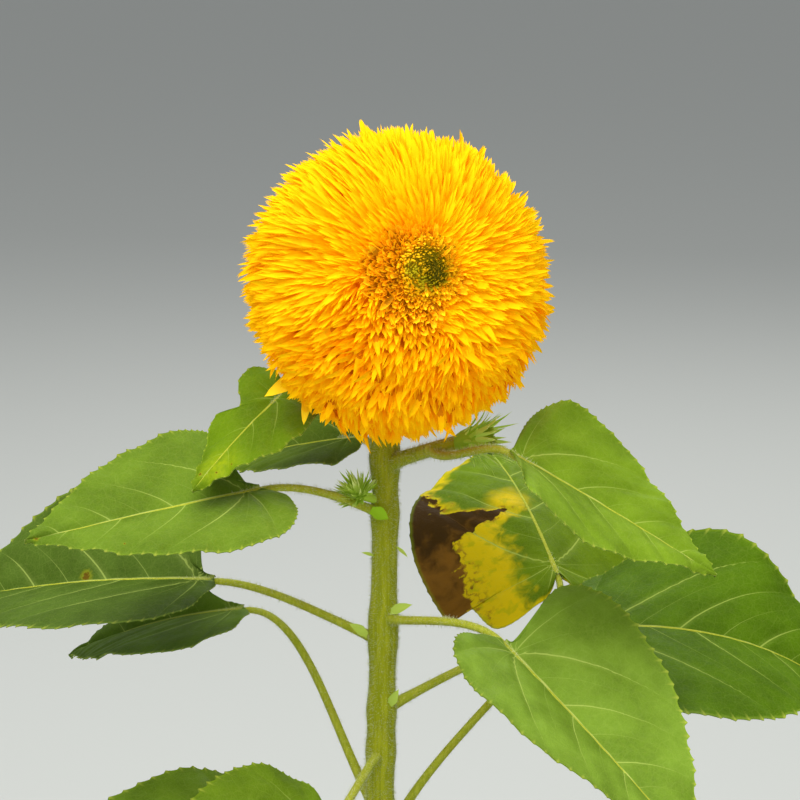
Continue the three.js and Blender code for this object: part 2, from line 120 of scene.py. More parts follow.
def tube(path, radius, sides, reference=(0, 0, 1)):
    """A closed tube along a path. The radius has a value for each row, or for each row and side."""
    radius = np.asarray(radius, float).reshape(len(path), -1)
    tangent = unit(np.gradient(path, axis=0))
    reference = np.asarray(reference, float)
    across = unit(reference - tangent * (tangent @ reference)[:, None])
    over = np.cross(across, tangent)
    angle = np.arange(sides) * 2 * math.pi / sides
    ring = np.cos(angle)[None, :, None] * across[:, None] + np.sin(angle)[None, :, None] * over[:, None]
    return capped(path[:, None] + radius[..., None] * ring)


def joined(parts):
    """Many shapes as one: their points and their triangles."""
    starts = np.cumsum([0] + [len(points) for points, _ in parts[:-1]])
    return (np.vstack([points for points, _ in parts]),
            np.vstack([faces + start for (_, faces), start in zip(parts, starts)]))


def add_piece(name, shape, materials, nodes=(), dealt=None, marks=None):
    """A smooth mesh on the plant's one body; dealt gives a material to each triangle, and marks name
    values that the points carry."""
    points, faces = shape
    mesh = bpy.data.meshes.new(name)
    mesh.vertices.add(len(points))
    mesh.vertices.foreach_set("co", (points * 0.001).astype(np.float32).ravel())
    mesh.loops.add(faces.size)
    mesh.loops.foreach_set("vertex_index", faces.astype(np.int32).ravel())
    mesh.polygons.add(len(faces))
    mesh.polygons.foreach_set("loop_start", np.arange(0, faces.size, 3, dtype=np.int32))
    mesh.polygons.foreach_set("use_smooth", np.ones(len(faces), bool))
    for material in materials:
        mesh.materials.append(material)
    if dealt is not None:
        mesh.polygons.foreach_set("material_index", np.asarray(dealt, np.int32))
    for mark, values in (marks or {}).items():
        wide = values.ndim > 1
        layer = mesh.attributes.new(mark, "FLOAT_VECTOR" if wide else "FLOAT", "POINT")
        layer.data.foreach_set("vector" if wide else "value", values.astype(np.float32).ravel())
    mesh.update(calc_edges=True)
    piece = bpy.data.objects.new(name, mesh)
    bpy.context.scene.collection.objects.link(piece)
    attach(piece, "root")
    if nodes:
        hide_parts(*nodes)


def shade(*screen):
    """A colour from its screen values of red, green and blue, 0 to 255."""
    shares = [value / 255 for value in screen]
    return tuple(((v + 0.055) / 1.055) ** 2.4 if v > 10 / 255 else v / 12.92 for v in shares) + (1,)


class Signal:
    """A node's output. Arithmetic on it adds Math nodes, and any other node comes from node()."""

    def __init__(self, tree, output):
        self.tree = tree
        self.output = output

    def node(self, kind, settings, inputs, output=0):
        made = self.tree.nodes.new(kind)
        for name, value in settings.items():
            setattr(made, name, value)
        for name, value in inputs.items():
            if isinstance(name, int):
                socket = made.inputs[name]
            else:
                socket = next(s for s in made.inputs if name in (s.identifier, s.name))
            if isinstance(value, Signal):
                self.tree.links.new(value.output, socket)
            else:
                socket.default_value = value
        return Signal(self.tree, made.outputs[output])

    def maths(self, operation, *others):
        return self.node("ShaderNodeMath", {"operation": operation}, dict(enumerate([self, *others])))

    def __add__(self, other):
        return self.maths("ADD", other)

    def __sub__(self, other):
        return self.maths("SUBTRACT", other)

    def __rsub__(self, other):
        return self * -1 + other

    def __mul__(self, other):
        return self.maths("MULTIPLY", other)

    def __truediv__(self, other):
        return self.maths("DIVIDE", other)

    def ramp(self, low, high, start=0.0, end=1.0):
        """Goes smoothly from start at low to end at high."""
        return self.node("ShaderNodeMapRange", {"interpolation_type": "SMOOTHSTEP"},
                         {0: self, 1: low, 2: high, 3: start, 4: end})

    def blend(self, low, high):
        """Goes from one colour to another as this goes from 0 to 1."""
        return self.node("ShaderNodeMix", {"data_type": "RGBA"},
                         {"Factor_Float": self, "A_Color": low, "B_Color": high}, output=2)

    def over(self, factor, colour):
        """This colour with another laid over it by a factor."""
        return factor.blend(self, colour)

    def noise(self, scale, detail=2.0, distortion=0.0):
        return self.node("ShaderNodeTexNoise", {},
                         {"Vector": self, "Scale": scale, "Detail": detail, "Distortion": distortion})

    def cells(self, feature, scale):
        return self.node("ShaderNodeTexVoronoi", {"feature": feature}, {"Vector": self, "Scale": scale})

    def vector(self, operation, values, output=0):
        return self.node("ShaderNodeVectorMath", {"operation": operation}, {0: self, 1: values}, output)

    def away(self, x, y):
        """The distance from a point of a blade's plane."""
        return self.vector("DISTANCE", (x, y, 0), 1)

    def parts(self):
        """The three values of a vector."""
        separated = self.node("ShaderNodeSeparateXYZ", {}, {0: self}).output.node
        return [Signal(self.tree, output) for output in separated.outputs]


class Finish:
    """A new material, with its principled shader."""

    def __init__(self, name, roughness, specular):
        self.material = bpy.data.materials.new(name)
        self.material.use_nodes = True
        self.tree = self.material.node_tree
        self.shader = next(n for n in self.tree.nodes if n.type == "BSDF_PRINCIPLED")
        self.shader.inputs["Roughness"].default_value = roughness
        self.shader.inputs["Specular IOR Level"].default_value = specular
        coordinates = self.tree.nodes.new("ShaderNodeTexCoord")
        self.place = Signal(self.tree, coordinates.outputs["Object"])

    def mark(self, name, output="Vector"):
        """A value that the mesh's points carry."""
        read = self.tree.nodes.new("ShaderNodeAttribute")
        read.attribute_name = name
        return Signal(self.tree, read.outputs[output])

    def wear(self, socket, value):
        """Puts a signal or a fixed value on one of the shader's sockets."""
        if isinstance(value, Signal):
            self.tree.links.new(value.output, self.shader.inputs[socket])
        else:
            self.shader.inputs[socket].default_value = value

    def bump(self, height, distance, strength):
        relief = {"Height": height, "Distance": distance, "Strength": strength}
        self.wear("Normal", height.node("ShaderNodeBump", {}, relief))


def ribbed_skin(name, base, rib, pale):
    """Green skin with streaks along its length, paler ribs and small dots at the roots of hairs."""
    skin = Finish(name, 0.62, 0.12)
    streaks = skin.place.vector("MULTIPLY", (1, 1, 0.06)).noise(900, 4)
    blotches = skin.place.noise(60, 3)
    dots = skin.place.cells("F1", 420)
    coloured = streaks.ramp(0.35, 0.68).blend(shade(*base), shade(*rib))
    coloured = coloured.over(blotches.ramp(0.45, 0.75, 0, 0.45), shade(*pale))
    coloured = coloured.over(dots.ramp(0.12, 0.22, 0.6, 0), shade(*HAIR_DOT))
    skin.wear("Base Color", coloured)
    skin.bump(streaks * 0.7 + dots.ramp(0.1, 0.3, 0.5, 0), 0.0004, 0.6)
    return skin.material


neck_end = HEAD_CENTRE - HEAD_AXIS * (NECK_BACK + CLEARANCE)
stem_knots = [(0, 0, 0), (0, 0, 35), (2, 0.5, 150), (5, 0, 296), (7, 0.5, 430), (5.5, 5, 466), (2.5, 9, 488),
              neck_end - NECK_STRAIGHT * HEAD_AXIS, neck_end]


def stem_radius(height):
    low = lerp(FOOT_RADIUS, WAIST_RADIUS, np.minimum(height, WAIST_HEIGHT) / WAIST_HEIGHT)
    high = (np.maximum(height, WAIST_HEIGHT) - WAIST_HEIGHT) / (neck_end[2] - WAIST_HEIGHT)
    return low - high * (WAIST_RADIUS - TOP_RADIUS) + FOOT_FLARE * np.exp(-height / FLARE_HEIGHT)


def stem_centre(height):
    """Centre of the stem at a height, by halving."""
    low, high = 0.0, RISING_SHARE
    for _ in range(30):
        middle = (low + high) / 2
        if through(stem_knots, [middle])[0][2] < height:
            low = middle
        else:
            high = middle
    return through(stem_knots, [low])[0]


def round_turn(sides):
    """Angles of evenly spaced sides, in radians."""
    return np.arange(sides) * 2 * math.pi / sides


def ribs(rows, sides, depth, count, seed):
    """Relief of long ribs that wander a little along a limb, as a share of its radius."""
    chance = np.random.default_rng(seed)
    share = np.linspace(0, 1, rows)[:, None]
    relief = np.zeros((rows, sides))
    for turns in (count, count + 5, 2 * count + 3):
        wander = chance.uniform(0, 6.3) + 2.2 * np.sin(share * chance.uniform(5, 9) + chance.uniform(0, 6.3))
        relief += np.cos(turns * round_turn(sides)[None] + wander) / turns
    return depth * count * relief


stem_path = through(stem_knots, np.linspace(0, 1, STEM_ROWS))
heights = stem_path[:, 2]
swelling = sum(NODE_SWELLING * np.exp(-((heights - node) / NODE_REACH) ** 2) for node in STALK_NODES)
stem_relief = 1 + ribs(STEM_ROWS, STEM_SIDES, STEM_RELIEF, STEM_RIBS, 1) * smooth(heights, 0, 6)[:, None]
stem_shape = tube(stem_path, (stem_radius(heights) + swelling)[:, None] * stem_relief, STEM_SIDES, (1, 0, 0))
stem_shape[0][:STEM_SIDES, 2] = 0
stem_shape[0][-2, 2] = 0
stem_skin = ribbed_skin("stem_skin", *STEM_GREENS)
add_piece("stem", stem_shape, [stem_skin], ["main_stem"])

# Side branch
# A short green shoot from the stem's right side, thicker where it leaves the stem. It carries a
# half-open bud at its end and one leaf.
BRANCH_NODE, BRANCH_AZIMUTH, BRANCH_RISE, BRANCH_END = 426, -40, 25, (37, -22, 441)
BRANCH_RADIUS, BRANCH_COLLAR, COLLAR_FALL = 3, 1.2, 7
BRANCH_PULL, BUD_PULL, BUD_OVERLAP = 18, 14, 0.6
BRANCH_ROWS, BRANCH_SIDES, BRANCH_RIBS, BRANCH_RELIEF = 60, 36, 7, 0.025
BUD_AXIS = unit(np.array([0.93, -0.12, 0.3]))

branch_start = stem_centre(BRANCH_NODE)
branch_ends = [branch_start, branch_start + heading(BRANCH_AZIMUTH, BRANCH_RISE) * BRANCH_PULL,
               np.array(BRANCH_END) - BUD_AXIS * BUD_PULL, np.array(BRANCH_END) + BUD_AXIS * BUD_OVERLAP]
branch_share = np.linspace(0, 1, BRANCH_ROWS)
branch_path = bezier(branch_ends, branch_share)
branch_radius = BRANCH_RADIUS + BRANCH_COLLAR * np.exp(-COLLAR_FALL * branch_share)
branch_relief = 1 + ribs(BRANCH_ROWS, BRANCH_SIDES, BRANCH_RELIEF, BRANCH_RIBS, 2)
branch_shape = tube(branch_path, branch_radius[:, None] * branch_relief, BRANCH_SIDES)
add_piece("branch", branch_shape, [stem_skin], ["side_branch"])

# Leaf stalks
# Each leaf hangs on a hairy yellow-green stalk, grooved on top and flared where it clasps the stem.
# It runs on under the blade as the tapering midrib.
BLADE_BASE, SHOULDER, NECK_HALF, RIB_START, LOBE_SHARE = 0.06, 0.2, 1.7, 0.02, 0.4
CREASE, LIFT_REACH = 0.008, 0.55
STALK_RADIUS, STALK_END, RIB_END, COLLAR, COLLAR_SHARE = 1.9, 1.5, 0.14, 1.9, 0.08
STALK_PULL, BLADE_PULL, STALK_SINK = 0.36, 0.3, 1.2
STALK_ROWS, RIB_ROWS, STALK_SIDES, STALK_RIBS, STALK_RELIEF = 90, 50, 18, 6, 0.02
GROOVE_DEPTH, GROOVE_HALF = 0.16, 0.5
STALK_GREENS = [(164, 172, 40), (186, 190, 62), (170, 164, 44)]

# A leaf's node is its height on the stem, and its junction is where stalk and blade meet. Angles are in
# degrees and the outline is in blade lengths. A pair is for the left half and the right half.
USUAL_LEAF = dict(roll=0, taper=0.8, lift=(0, 0), notch=-0.17, nick=(0, 0, 0, 1), pinch=(0, 0, 0, 1, 1))
LEAVES = {
    "crown_left": dict(node=447, azimuth=205, rise=20, junction=(-39, -22, 460.5), yaw=227, pitch=-27,
                       droop=12, length=59, width=(0.45, 0.35), lobe=(0.25, 0.4), belly=0.55, fold=(-6, -8),
                       lift=(0, 38), pinch=(-1, 0.22, 0.52, 0.13, 0.07), teeth=0.35, green=(97, 128, 5)),
    "crown_back": dict(node=455, azimuth=85, rise=30, junction=(12, 46, 472), yaw=82, pitch=-4, droop=30,
                       length=78, width=0.42, lobe=0.25, belly=0.57, fold=(12, 12), green=(93, 120, 17)),
    "crown_far_left": dict(node=432, azimuth=150, rise=10, junction=(-9.5, 15, 435), yaw=163, pitch=-9,
                           roll=-22, droop=16, length=70, width=0.42, lobe=0.24, belly=0.58, fold=(12, 10),
                           green=(78, 102, 14)),
    "upper_left": dict(node=404, azimuth=205, rise=25, junction=(-51, -38, 424), yaw=202, pitch=-6, roll=-30,
                       droop=4, length=97, width=0.4, lobe=(0.28, 0), notch=(-0.17, 0.2), belly=0.57,
                       taper=0.87, fold=(14, 3), lift=(-3, 3), green=(96, 125, 24)),
    "front_right": dict(node=357, azimuth=-62, rise=8, junction=(61.5, -55, 358), yaw=-46, pitch=-29, roll=4,
                        droop=4, length=116.5, width=(0.41, 0.4), lobe=(0.37, 0.19), notch=(0.11, -0.14),
                        belly=0.59, taper=0.87, fold=(19, 18), lift=(8, 0), green=(112, 143, 36)),
    "left": dict(node=346, azimuth=172, rise=22, junction=(-76.5, 15, 370.5), yaw=160, pitch=-4, roll=-29,
                 droop=17, length=138, width=0.43, lobe=(0.18, 0), notch=(-0.1, 0.25), belly=0.61,
                 taper=0.81, fold=(22, 22), lift=(3, 0), green=(74, 99, 24)),
    "right": dict(node=314, azimuth=22, rise=22, junction=(103, 28, 344), yaw=-8, pitch=8, roll=28, droop=60,
                  length=132, width=0.5, lobe=0.19, belly=0.66, taper=0.78, fold=(12, 9), lift=(-30, 4),
                  green=(77, 110, 4)),
    "front_left": dict(node=295, azimuth=250, rise=-4, junction=(-21.5, -62, 280), yaw=236, pitch=-13,
                       roll=-26, droop=8, length=115, width=0.41, lobe=0.23, belly=0.49, taper=0.74,
                       fold=(30, 8), lift=(0, 4), green=(96, 124, 16)),
    "far_left": dict(node=265, azimuth=145, rise=50, junction=(-63, 40, 349), yaw=153, pitch=-12, roll=-24,
                     droop=22, length=104, width=(0.42, 0.15), lobe=(0.24, -0.3), notch=(-0.17, 0.1),
                     belly=0.58, fold=(16, 14), green=(90, 119, 24)),
    "far_right": dict(node=242, azimuth=66, rise=50, junction=(85.5, 78, 360), yaw=104, pitch=26, roll=-3,
                      droop=27, length=130, width=0.47, lobe=(0.36, 0.34), belly=0.72, taper=0.79,
                      fold=(-8, -19), lift=(-20, -15), nick=(1, 0.36, 0.17, 0.045), teeth=0.25,
                      green=(96, 124, 2)),
    "shoot": dict(azimuth=-70, rise=-20, junction=(64.5, -45, 440), yaw=-15, pitch=-26.5, roll=18, droop=5,
                  length=94.5, width=(0.44, 0.45), lobe=(0.18, -0.03), notch=(-0.04, 0), belly=0.54,
                  taper=0.79, fold=(3, 6.5), lift=(11, 19.5), green=(110, 141, 22)),
}
SHOOT_SHARE = 0.7
LOWER_COUNT, LOWER_TOP, LOWER_SPACING, LOWER_AZIMUTH, LOWER_RISE = 7, 216, 24.5, 197.5, 34
LOWER_BROADEST, LOWER_SMALLEST, LOWER_REACH, LOWER_TWIST = 134, 74, 0.58, 7

for i in range(LOWER_COUNT):
    share = i / (LOWER_COUNT - 1)
    size = lerp(LOWER_BROADEST, LOWER_SMALLEST, share ** 1.6)
    node = LOWER_TOP - i * LOWER_SPACING
    azimuth = LOWER_AZIMUTH + i * GOLDEN_ANGLE
    out = heading(azimuth + 4, LOWER_RISE - 8 * share) * LOWER_REACH * size
    LEAVES[f"lower_{i + 1}"] = dict(
        node=node, azimuth=azimuth, rise=LOWER_RISE + 6, junction=stem_centre(node) + out, yaw=azimuth + 6,
        pitch=-8 - 6 * share, roll=LOWER_TWIST if i % 2 else -LOWER_TWIST, droop=34, length=size, width=0.43,
        lobe=0.24, belly=0.57, fold=(14, 12), lift=(2, 4), green=(98 - 2 * i, 127 - 3 * i, 22))
for name, leaf in LEAVES.items():
    leaf.update(USUAL_LEAF | leaf)
    leaf["start"] = bezier(branch_ends, [SHOOT_SHARE])[0] if name == "shoot" else stem_centre(leaf["node"])
    leaf["chance"] = sum(ord(letter) for letter in name)


def leaf_frame(leaf):
    """The directions of a blade: along its midrib, to its left, and up from its face."""
    along = heading(leaf["yaw"], leaf["pitch"])
    a, r = math.radians(leaf["yaw"]), math.radians(leaf["roll"])
    level = np.array([-math.sin(a), math.cos(a), 0])
    upright = np.cross(along, level)
    return along, level * math.cos(r) + upright * math.sin(r), upright * math.cos(r) - level * math.sin(r)


def leaf_surface(leaf, x, y):
    """Points and normals of a blade at x along its midrib and y to its left, in blade lengths."""
    along, side, up = leaf_frame(leaf)
    x, y = np.broadcast_arrays(np.asarray(x, float), np.asarray(y, float))
    bend, run = math.radians(leaf["droop"]), np.maximum(x, 0)
    forward = np.where(x > 0, np.sin(bend * run) / bend, x)
    sink = -(1 - np.cos(bend * run)) / bend
    near = 1 - smooth(x, 0, LIFT_REACH)
    fold = np.where(y > 0, *(np.radians(leaf["fold"][half] + leaf["lift"][half] * near) for half in (0, 1)))
    raised = (np.sqrt(y * y + CREASE * CREASE) - CREASE) * np.sin(fold)
    normal = up * np.cos(bend * run)[..., None] + along * np.sin(bend * run)[..., None]
    offset = (along * forward[..., None] + up * sink[..., None] + normal * raised[..., None]
              + side * (y * np.cos(fold))[..., None])
    return np.asarray(leaf["junction"]) + leaf["length"] * offset, normal


def stalk_size(leaf):
    return min(1, 0.55 + leaf["length"] / 220)


def rib_radius(leaf, x):
    return lerp(STALK_END * stalk_size(leaf), RIB_END, np.clip(x, 0, 1) ** 0.6)


def stalk_route(leaf):
    """The middle of a stalk and of the midrib that it runs on into, and the radius there."""
    along, _, up = leaf_frame(leaf)
    start = leaf["start"]
    end = np.asarray(leaf["junction"]) - along * (BLADE_BASE * leaf["length"] + CLEARANCE) - up * STALK_SINK
    reach = np.linalg.norm(end - start)
    share = np.linspace(0, 1, STALK_ROWS) ** 1.3
    outward = heading(leaf["azimuth"], leaf["rise"]) * reach * STALK_PULL
    ends = [start, start + outward, end - along * reach * BLADE_PULL, end]
    radius = lerp(STALK_RADIUS, STALK_END, share ** 3) + COLLAR * np.exp(-share / COLLAR_SHARE)
    x = np.linspace(-0.03, 0.95, RIB_ROWS)
    thin = rib_radius(leaf, x)
    point, normal = leaf_surface(leaf, x, 0 * x)
    return (np.vstack([bezier(ends, share), point - normal * (0.85 * thin + 0.12)[:, None]]),
            np.concatenate([stalk_size(leaf) * radius, thin]))


stalk_skin = ribbed_skin("stalk_skin", *STALK_GREENS)
stalks = {name: stalk_route(leaf) for name, leaf in LEAVES.items()}
from_top = np.minimum(round_turn(STALK_SIDES), 2 * math.pi - round_turn(STALK_SIDES))
groove = GROOVE_DEPTH * np.exp(-(from_top / GROOVE_HALF) ** 2)
for name, (path, radius) in stalks.items():
    relief = 1 + ribs(len(path), STALK_SIDES, STALK_RELIEF, STALK_RIBS, LEAVES[name]["chance"]) - groove
    shape = tube(path, radius[:, None] * relief, STALK_SIDES)
    add_piece(f"stalk_{name}", shape, [stalk_skin], [f"petiole_{name}"])

# Leaf blades
# Heart-shaped rough green blades with a finely toothed margin. Pale arched side veins leave the
# midrib further and further apart towards the stalk. One leaf is yellow and half dry.
VEIN_FIRST, VEIN_CLOSING, VEIN_FAN = 0.18, 0.0065, math.radians(27)
VEIN_SLOPE, VEIN_ARCH, VEIN_STAGGER, WHOLE_TURNS = 0.75, 2.4, 0.35, 40
FINE_PITCH, WIDE_PITCH, TOOTH_DEPTH, TOOTH_ROWS = 3.3, 6.4, 1.45, 5
TOOTH_CURVE, TOOTH_REST, EDGE_ONLY = 2.6, 0.25, 12
FEWEST_COLUMNS, MOST_COLUMNS, BLADE_THICK = 12, 20, 0.4
SMALL_LEAF, FULL_LEAF = 70, 125
PUCKER, BLISTER, VEIN_GROOVE, RIB_GROOVE, VEIN_RIDGE, RIDGE_HALF = 0.75, 0.45, 2.6, 1.2, 0.5, 0.9
BLADE_ARCH, BLADE_SINK = 0.013, 0.3
DRY_SIDE, DRY_TOP, TONGUE_LENGTH, TONGUE_PLACE, TONGUE_HALF, DRY_RAGGED = 43, 60, 30, 47, 7.5, 30
YELLOW_BELT, YELLOW_BAND, YELLOW_SPOT = 26, 7, (55, 8, 10)
SPOTS = {"upper_left": [(92, 1, 0.9), (60, 20, 0.4)], "left": [(57, -2, 1.9), (96, 22, 0.6)],
         "crown_left": [(47, 5, 0.5), (50, -2, 0.6), (41, 9, 0.4)], "front_right": [(104, 2, 0.4)]}
YELLOW_PATCH = {"crown_left": (44, 3, 15)}
VEIN_PALE, RIB_PALE, NET_SHOW = (204, 218, 116), (184, 194, 100), 0.05
MARGIN_PALE, TOOTH_PALE, UNDER_PALE = (150, 176, 40), (190, 196, 76), (128, 150, 84)
SPOT_RIM, SPOT_BROWN, PATCH_YELLOW = (150, 150, 20), (96, 62, 8), (150, 168, 10)
OLD_YELLOW, OLD_GREEN, SPECK_BROWN = (214, 188, 4), (158, 164, 4), (140, 98, 22)
DRY_DARK, DRY_LIGHT, DRY_VEIN = (60, 40, 2), (126, 86, 22), (90, 60, 10)


def leaf_outline(leaf, t, half):
    """Where the midrib and the edge of one half are at shares t of the outline, in blade lengths."""
    number = 0 if half > 0 else 1
    width, back, notch = (np.broadcast_to(leaf[key], 2)[number] for key in ("width", "lobe", "notch"))
    lobe = [(-BLADE_BASE, NECK_HALF / leaf["length"]), (notch, 0.06 + 0.3 * min(notch, 0)),
            (-back - 0.6 * max(notch, 0), width + 0.01), (SHOULDER, width)]
    flank = [(SHOULDER, width), (leaf["belly"], width), (leaf["taper"], 0.1), (1, 0)]
    on_lobe = t < LOBE_SHARE
    u = np.where(on_lobe, t / LOBE_SHARE, (t - LOBE_SHARE) / (1 - LOBE_SHARE))
    rib = np.where(on_lobe, lerp(-BLADE_BASE, RIB_START, u), lerp(RIB_START, 1, u))
    edge = np.where(on_lobe[:, None], bezier(lobe, u), bezier(flank, u))
    side, place, depth, reach = leaf["nick"]
    if side == half:
        edge[:, 0] += on_lobe * depth * np.exp(-((edge[:, 1] - place) / reach) ** 2)
    side, place, depth, behind, ahead = leaf["pinch"]
    if side == half:
        reach = np.where(edge[:, 0] < place, behind, ahead)
        edge[:, 1] *= 1 - depth * np.exp(-((edge[:, 0] - place) / reach) ** 2)
    return rib, edge


def vein_field(x, y, length):
    """Counts the side veins: whole numbers lie on a vein. Also the millimetres from vein to vein."""
    y = np.abs(y)
    start = x - VEIN_SLOPE * y - VEIN_ARCH * y * y
    slope = VEIN_SLOPE + 2 * VEIN_ARCH * y
    root = np.sqrt(np.maximum(VEIN_FIRST ** 2 - 4 * VEIN_CLOSING * np.maximum(start, 0), 0.0004))
    apart = root * length / np.sqrt(1 + slope * slope)
    distance = np.sqrt(x * x + y * y) + 1e-6
    first_y = np.linspace(0.001, 0.6, 80)
    first_x = VEIN_SLOPE * first_y + VEIN_ARCH * first_y ** 2
    main = np.interp(distance, np.hypot(first_x, first_y), np.arctan2(first_y, first_x))
    behind = (np.arctan2(y, x) - main) / VEIN_FAN
    phase = np.where(start > 0, (VEIN_FIRST - root) / (2 * VEIN_CLOSING), -np.maximum(behind, 0))
    pitch = np.where(start > 0, apart, distance * VEIN_FAN * length)
    return phase, pitch


def blade_grid(leaf, scale, chance):
    """A grid over both halves of a blade, in blade lengths, with teeth along its edge: shares of the
    outline, shares across the halves, places x and y, and how near each point is to a tooth's tip."""
    length = leaf["length"]
    fine = np.linspace(0, 0.997, 400)
    _, edge = leaf_outline(leaf, fine, 1)
    steps = np.linalg.norm(np.diff(edge, axis=0), axis=1) * length
    pitch = lerp(FINE_PITCH, WIDE_PITCH, smooth(fine[1:], 0.2, 0.45)) * scale
    counted = np.cumsum(np.concatenate([[0], steps / pitch]))
    teeth = int(counted[-1])
    rows = teeth * TOOTH_ROWS
    t = np.interp(np.linspace(0, counted[-1], rows), counted, fine)
    saw = (np.arange(rows) % TOOTH_ROWS / (TOOTH_ROWS - 1)) ** TOOTH_CURVE
    size = np.repeat(lerp(0.5, 1, smooth(np.arange(teeth) / teeth, 0.2, 0.5)), TOOTH_ROWS)
    size *= TOOTH_DEPTH * leaf.get("teeth", scale) / length
    columns = round(lerp(FEWEST_COLUMNS, MOST_COLUMNS, float(smooth(length, 60, 125))))
    u = np.linspace(0, 1, columns)
    u = 0.004 + 0.996 * lerp(u, 1 - (1 - u) ** 1.6, 0.6)
    u = np.concatenate([-u[::-1], u])
    x, y, tip = (np.zeros((rows, 2 * columns)) for _ in range(3))
    for half in (-1, 1):
        rib, edge = leaf_outline(leaf, t, half)
        outward = unit(np.stack([-np.gradient(edge[:, 1]), np.gradient(edge[:, 0])], -1))
        depth = size * np.repeat(chance.uniform(0.5, 1.3, teeth), TOOTH_ROWS)
        tooth = (saw - TOOTH_REST) * depth * smooth(t, 0.08, 0.2) * (1 - smooth(t, 0.97, 0.99))
        part = u * half > 0
        across = np.abs(u[part])[None]
        push = across ** EDGE_ONLY
        x[:, part] = lerp(rib[:, None], edge[:, :1], across) + (tooth * outward[:, 0])[:, None] * push
        y[:, part] = half * (edge[:, 1:] * across + (tooth * outward[:, 1])[:, None] * push)
        tip[:, part] = saw[:, None] * push
    return t[:, None], u[None], x, y, tip


def blade_shape(leaf):
    """The thin shell of a blade and the marks that its finish reads."""
    length = leaf["length"]
    scale = max(length, SMALL_LEAF) / FULL_LEAF
    chance = np.random.default_rng(leaf["chance"])
    t, u, x, y, tip = blade_grid(leaf, scale, chance)
    point, normal = leaf_surface(leaf, x, y)
    phase, pitch = vein_field(x, y, length)
    phase = phase + np.where(y > 0, VEIN_STAGGER, 0) * smooth(phase, 0.2, 1.2)
    from_vein = np.abs(phase - np.round(phase)) * pitch
    across, rib = np.broadcast_to(np.abs(u), x.shape), rib_radius(leaf, x)
    weight = 0.3 + 0.7 * np.cos(math.pi * phase / 2) ** 2
    line = (0.1 + 0.24 * weight) * (1 - 0.85 * across) + 0.18 * np.exp(-(phase / 0.45) ** 2) * (1 - across)
    groove = np.maximum(weight * np.exp(-(from_vein / VEIN_GROOVE) ** 2),
                        np.exp(-(np.abs(y) * length / (RIB_GROOVE + rib)) ** 2))
    swell = [(k, chance.uniform(0.3, 0.75), chance.uniform() + 0.5 * (u > 0)) for k in (2, 3, 5, 8)]
    wave = sum(size * np.sin(2 * math.pi * (k * t + shift)) for k, size, shift in swell)
    blister = sum(chance.uniform(0.1, 0.2) * np.sin(x * length * a + y * length * b + chance.uniform(0, 6.3))
                  for a, b in chance.uniform(-0.6, 0.6, (5, 2)))
    puff = PUCKER * (1 - groove) * smooth(t, 0, 0.06)
    arch = BLADE_ARCH * length * np.sin(math.pi * across)
    raised = puff + BLISTER * blister + wave * across ** 3 + arch - BLADE_SINK
    top = point + normal * raised[..., None]
    ridge = VEIN_RIDGE * weight * np.exp(-(from_vein / RIDGE_HALF) ** 2) * (1 - 0.7 * across)
    bottom = top - normal * (BLADE_THICK + ridge)[..., None]
    index = np.arange(x.size).reshape(x.shape)
    loop = np.concatenate([index[0, :-1], index[:-1, -1], index[-1, :0:-1], index[:0:-1, 0]])
    after = np.roll(loop, -1)
    rim = [np.stack([loop, loop + x.size, after + x.size], -1), np.stack([loop, after + x.size, after], -1)]
    skin = grid_faces(*x.shape)
    faces = np.vstack([skin, skin[:, ::-1] + x.size, *rim])
    marks = {"flat": [(x * length, y * length, 0 * x)] * 2,
             "veins": [(phase + WHOLE_TURNS, pitch, line * scale)] * 2,
             "skin": [(across, 0 * x, rib), (across, 0 * x + 1, rib)]}
    marks = {mark: np.vstack([np.stack(values, -1).reshape(-1, 3) for values in pair])
             for mark, pair in marks.items()}
    marks["tooth"] = np.tile(tip.ravel(), 2)
    return (np.vstack([top.reshape(-1, 3), bottom.reshape(-1, 3)]), faces), marks


def old_coat(colour, vein_colour, flat, shifted, across):
    """The yellow and the dry brown of the old leaf over its green, and its veins browned there."""
    along, to_left, _ = flat.parts()
    ragged = (shifted.noise(0.13, 7, 0.6) - 0.5) * DRY_RAGGED
    tongue = ((along - TONGUE_PLACE) / TONGUE_HALF).maths("ABSOLUTE").ramp(0, 1.6, TONGUE_LENGTH, 0)
    above = DRY_TOP - along + (to_left - DRY_SIDE + 5).maths("MAXIMUM", 0) * 2.4
    dry = (to_left - DRY_SIDE + tongue).maths("MINIMUM", above) + ragged
    belt = along.ramp(36, 52, YELLOW_BELT, YELLOW_BAND)
    spot = YELLOW_SPOT[2] - flat.away(*YELLOW_SPOT[:2]) + ragged * 0.3
    margin = (across + shifted.noise(0.12, 3) * 0.5).ramp(1.06, 1.26)
    yellow = (dry + belt).maths("MAXIMUM", spot).ramp(-5, 8).maths("MAXIMUM", margin)
    colour = colour.over(yellow, shade(*OLD_YELLOW))
    colour = colour.over(yellow * shifted.noise(0.16, 4).ramp(0.5, 0.64, 0, 0.5), shade(*OLD_GREEN))
    specks = shifted.noise(0.3, 5).ramp(0.5, 0.62, 0, 0.85)
    colour = colour.over(dry.ramp(-11, -1) * specks, shade(*SPECK_BROWN))
    brown = dry.ramp(-1.0, 1.0)
    lighter = along.ramp(58, 18, 0, 0.75) + (shifted.noise(0.14, 6, 0.4) - 0.5) * 1.5
    colour = colour.over(brown, lighter.ramp(0.1, 0.9).blend(shade(*DRY_DARK), shade(*DRY_LIGHT)))
    return colour, brown.blend(vein_colour, shade(*DRY_VEIN))


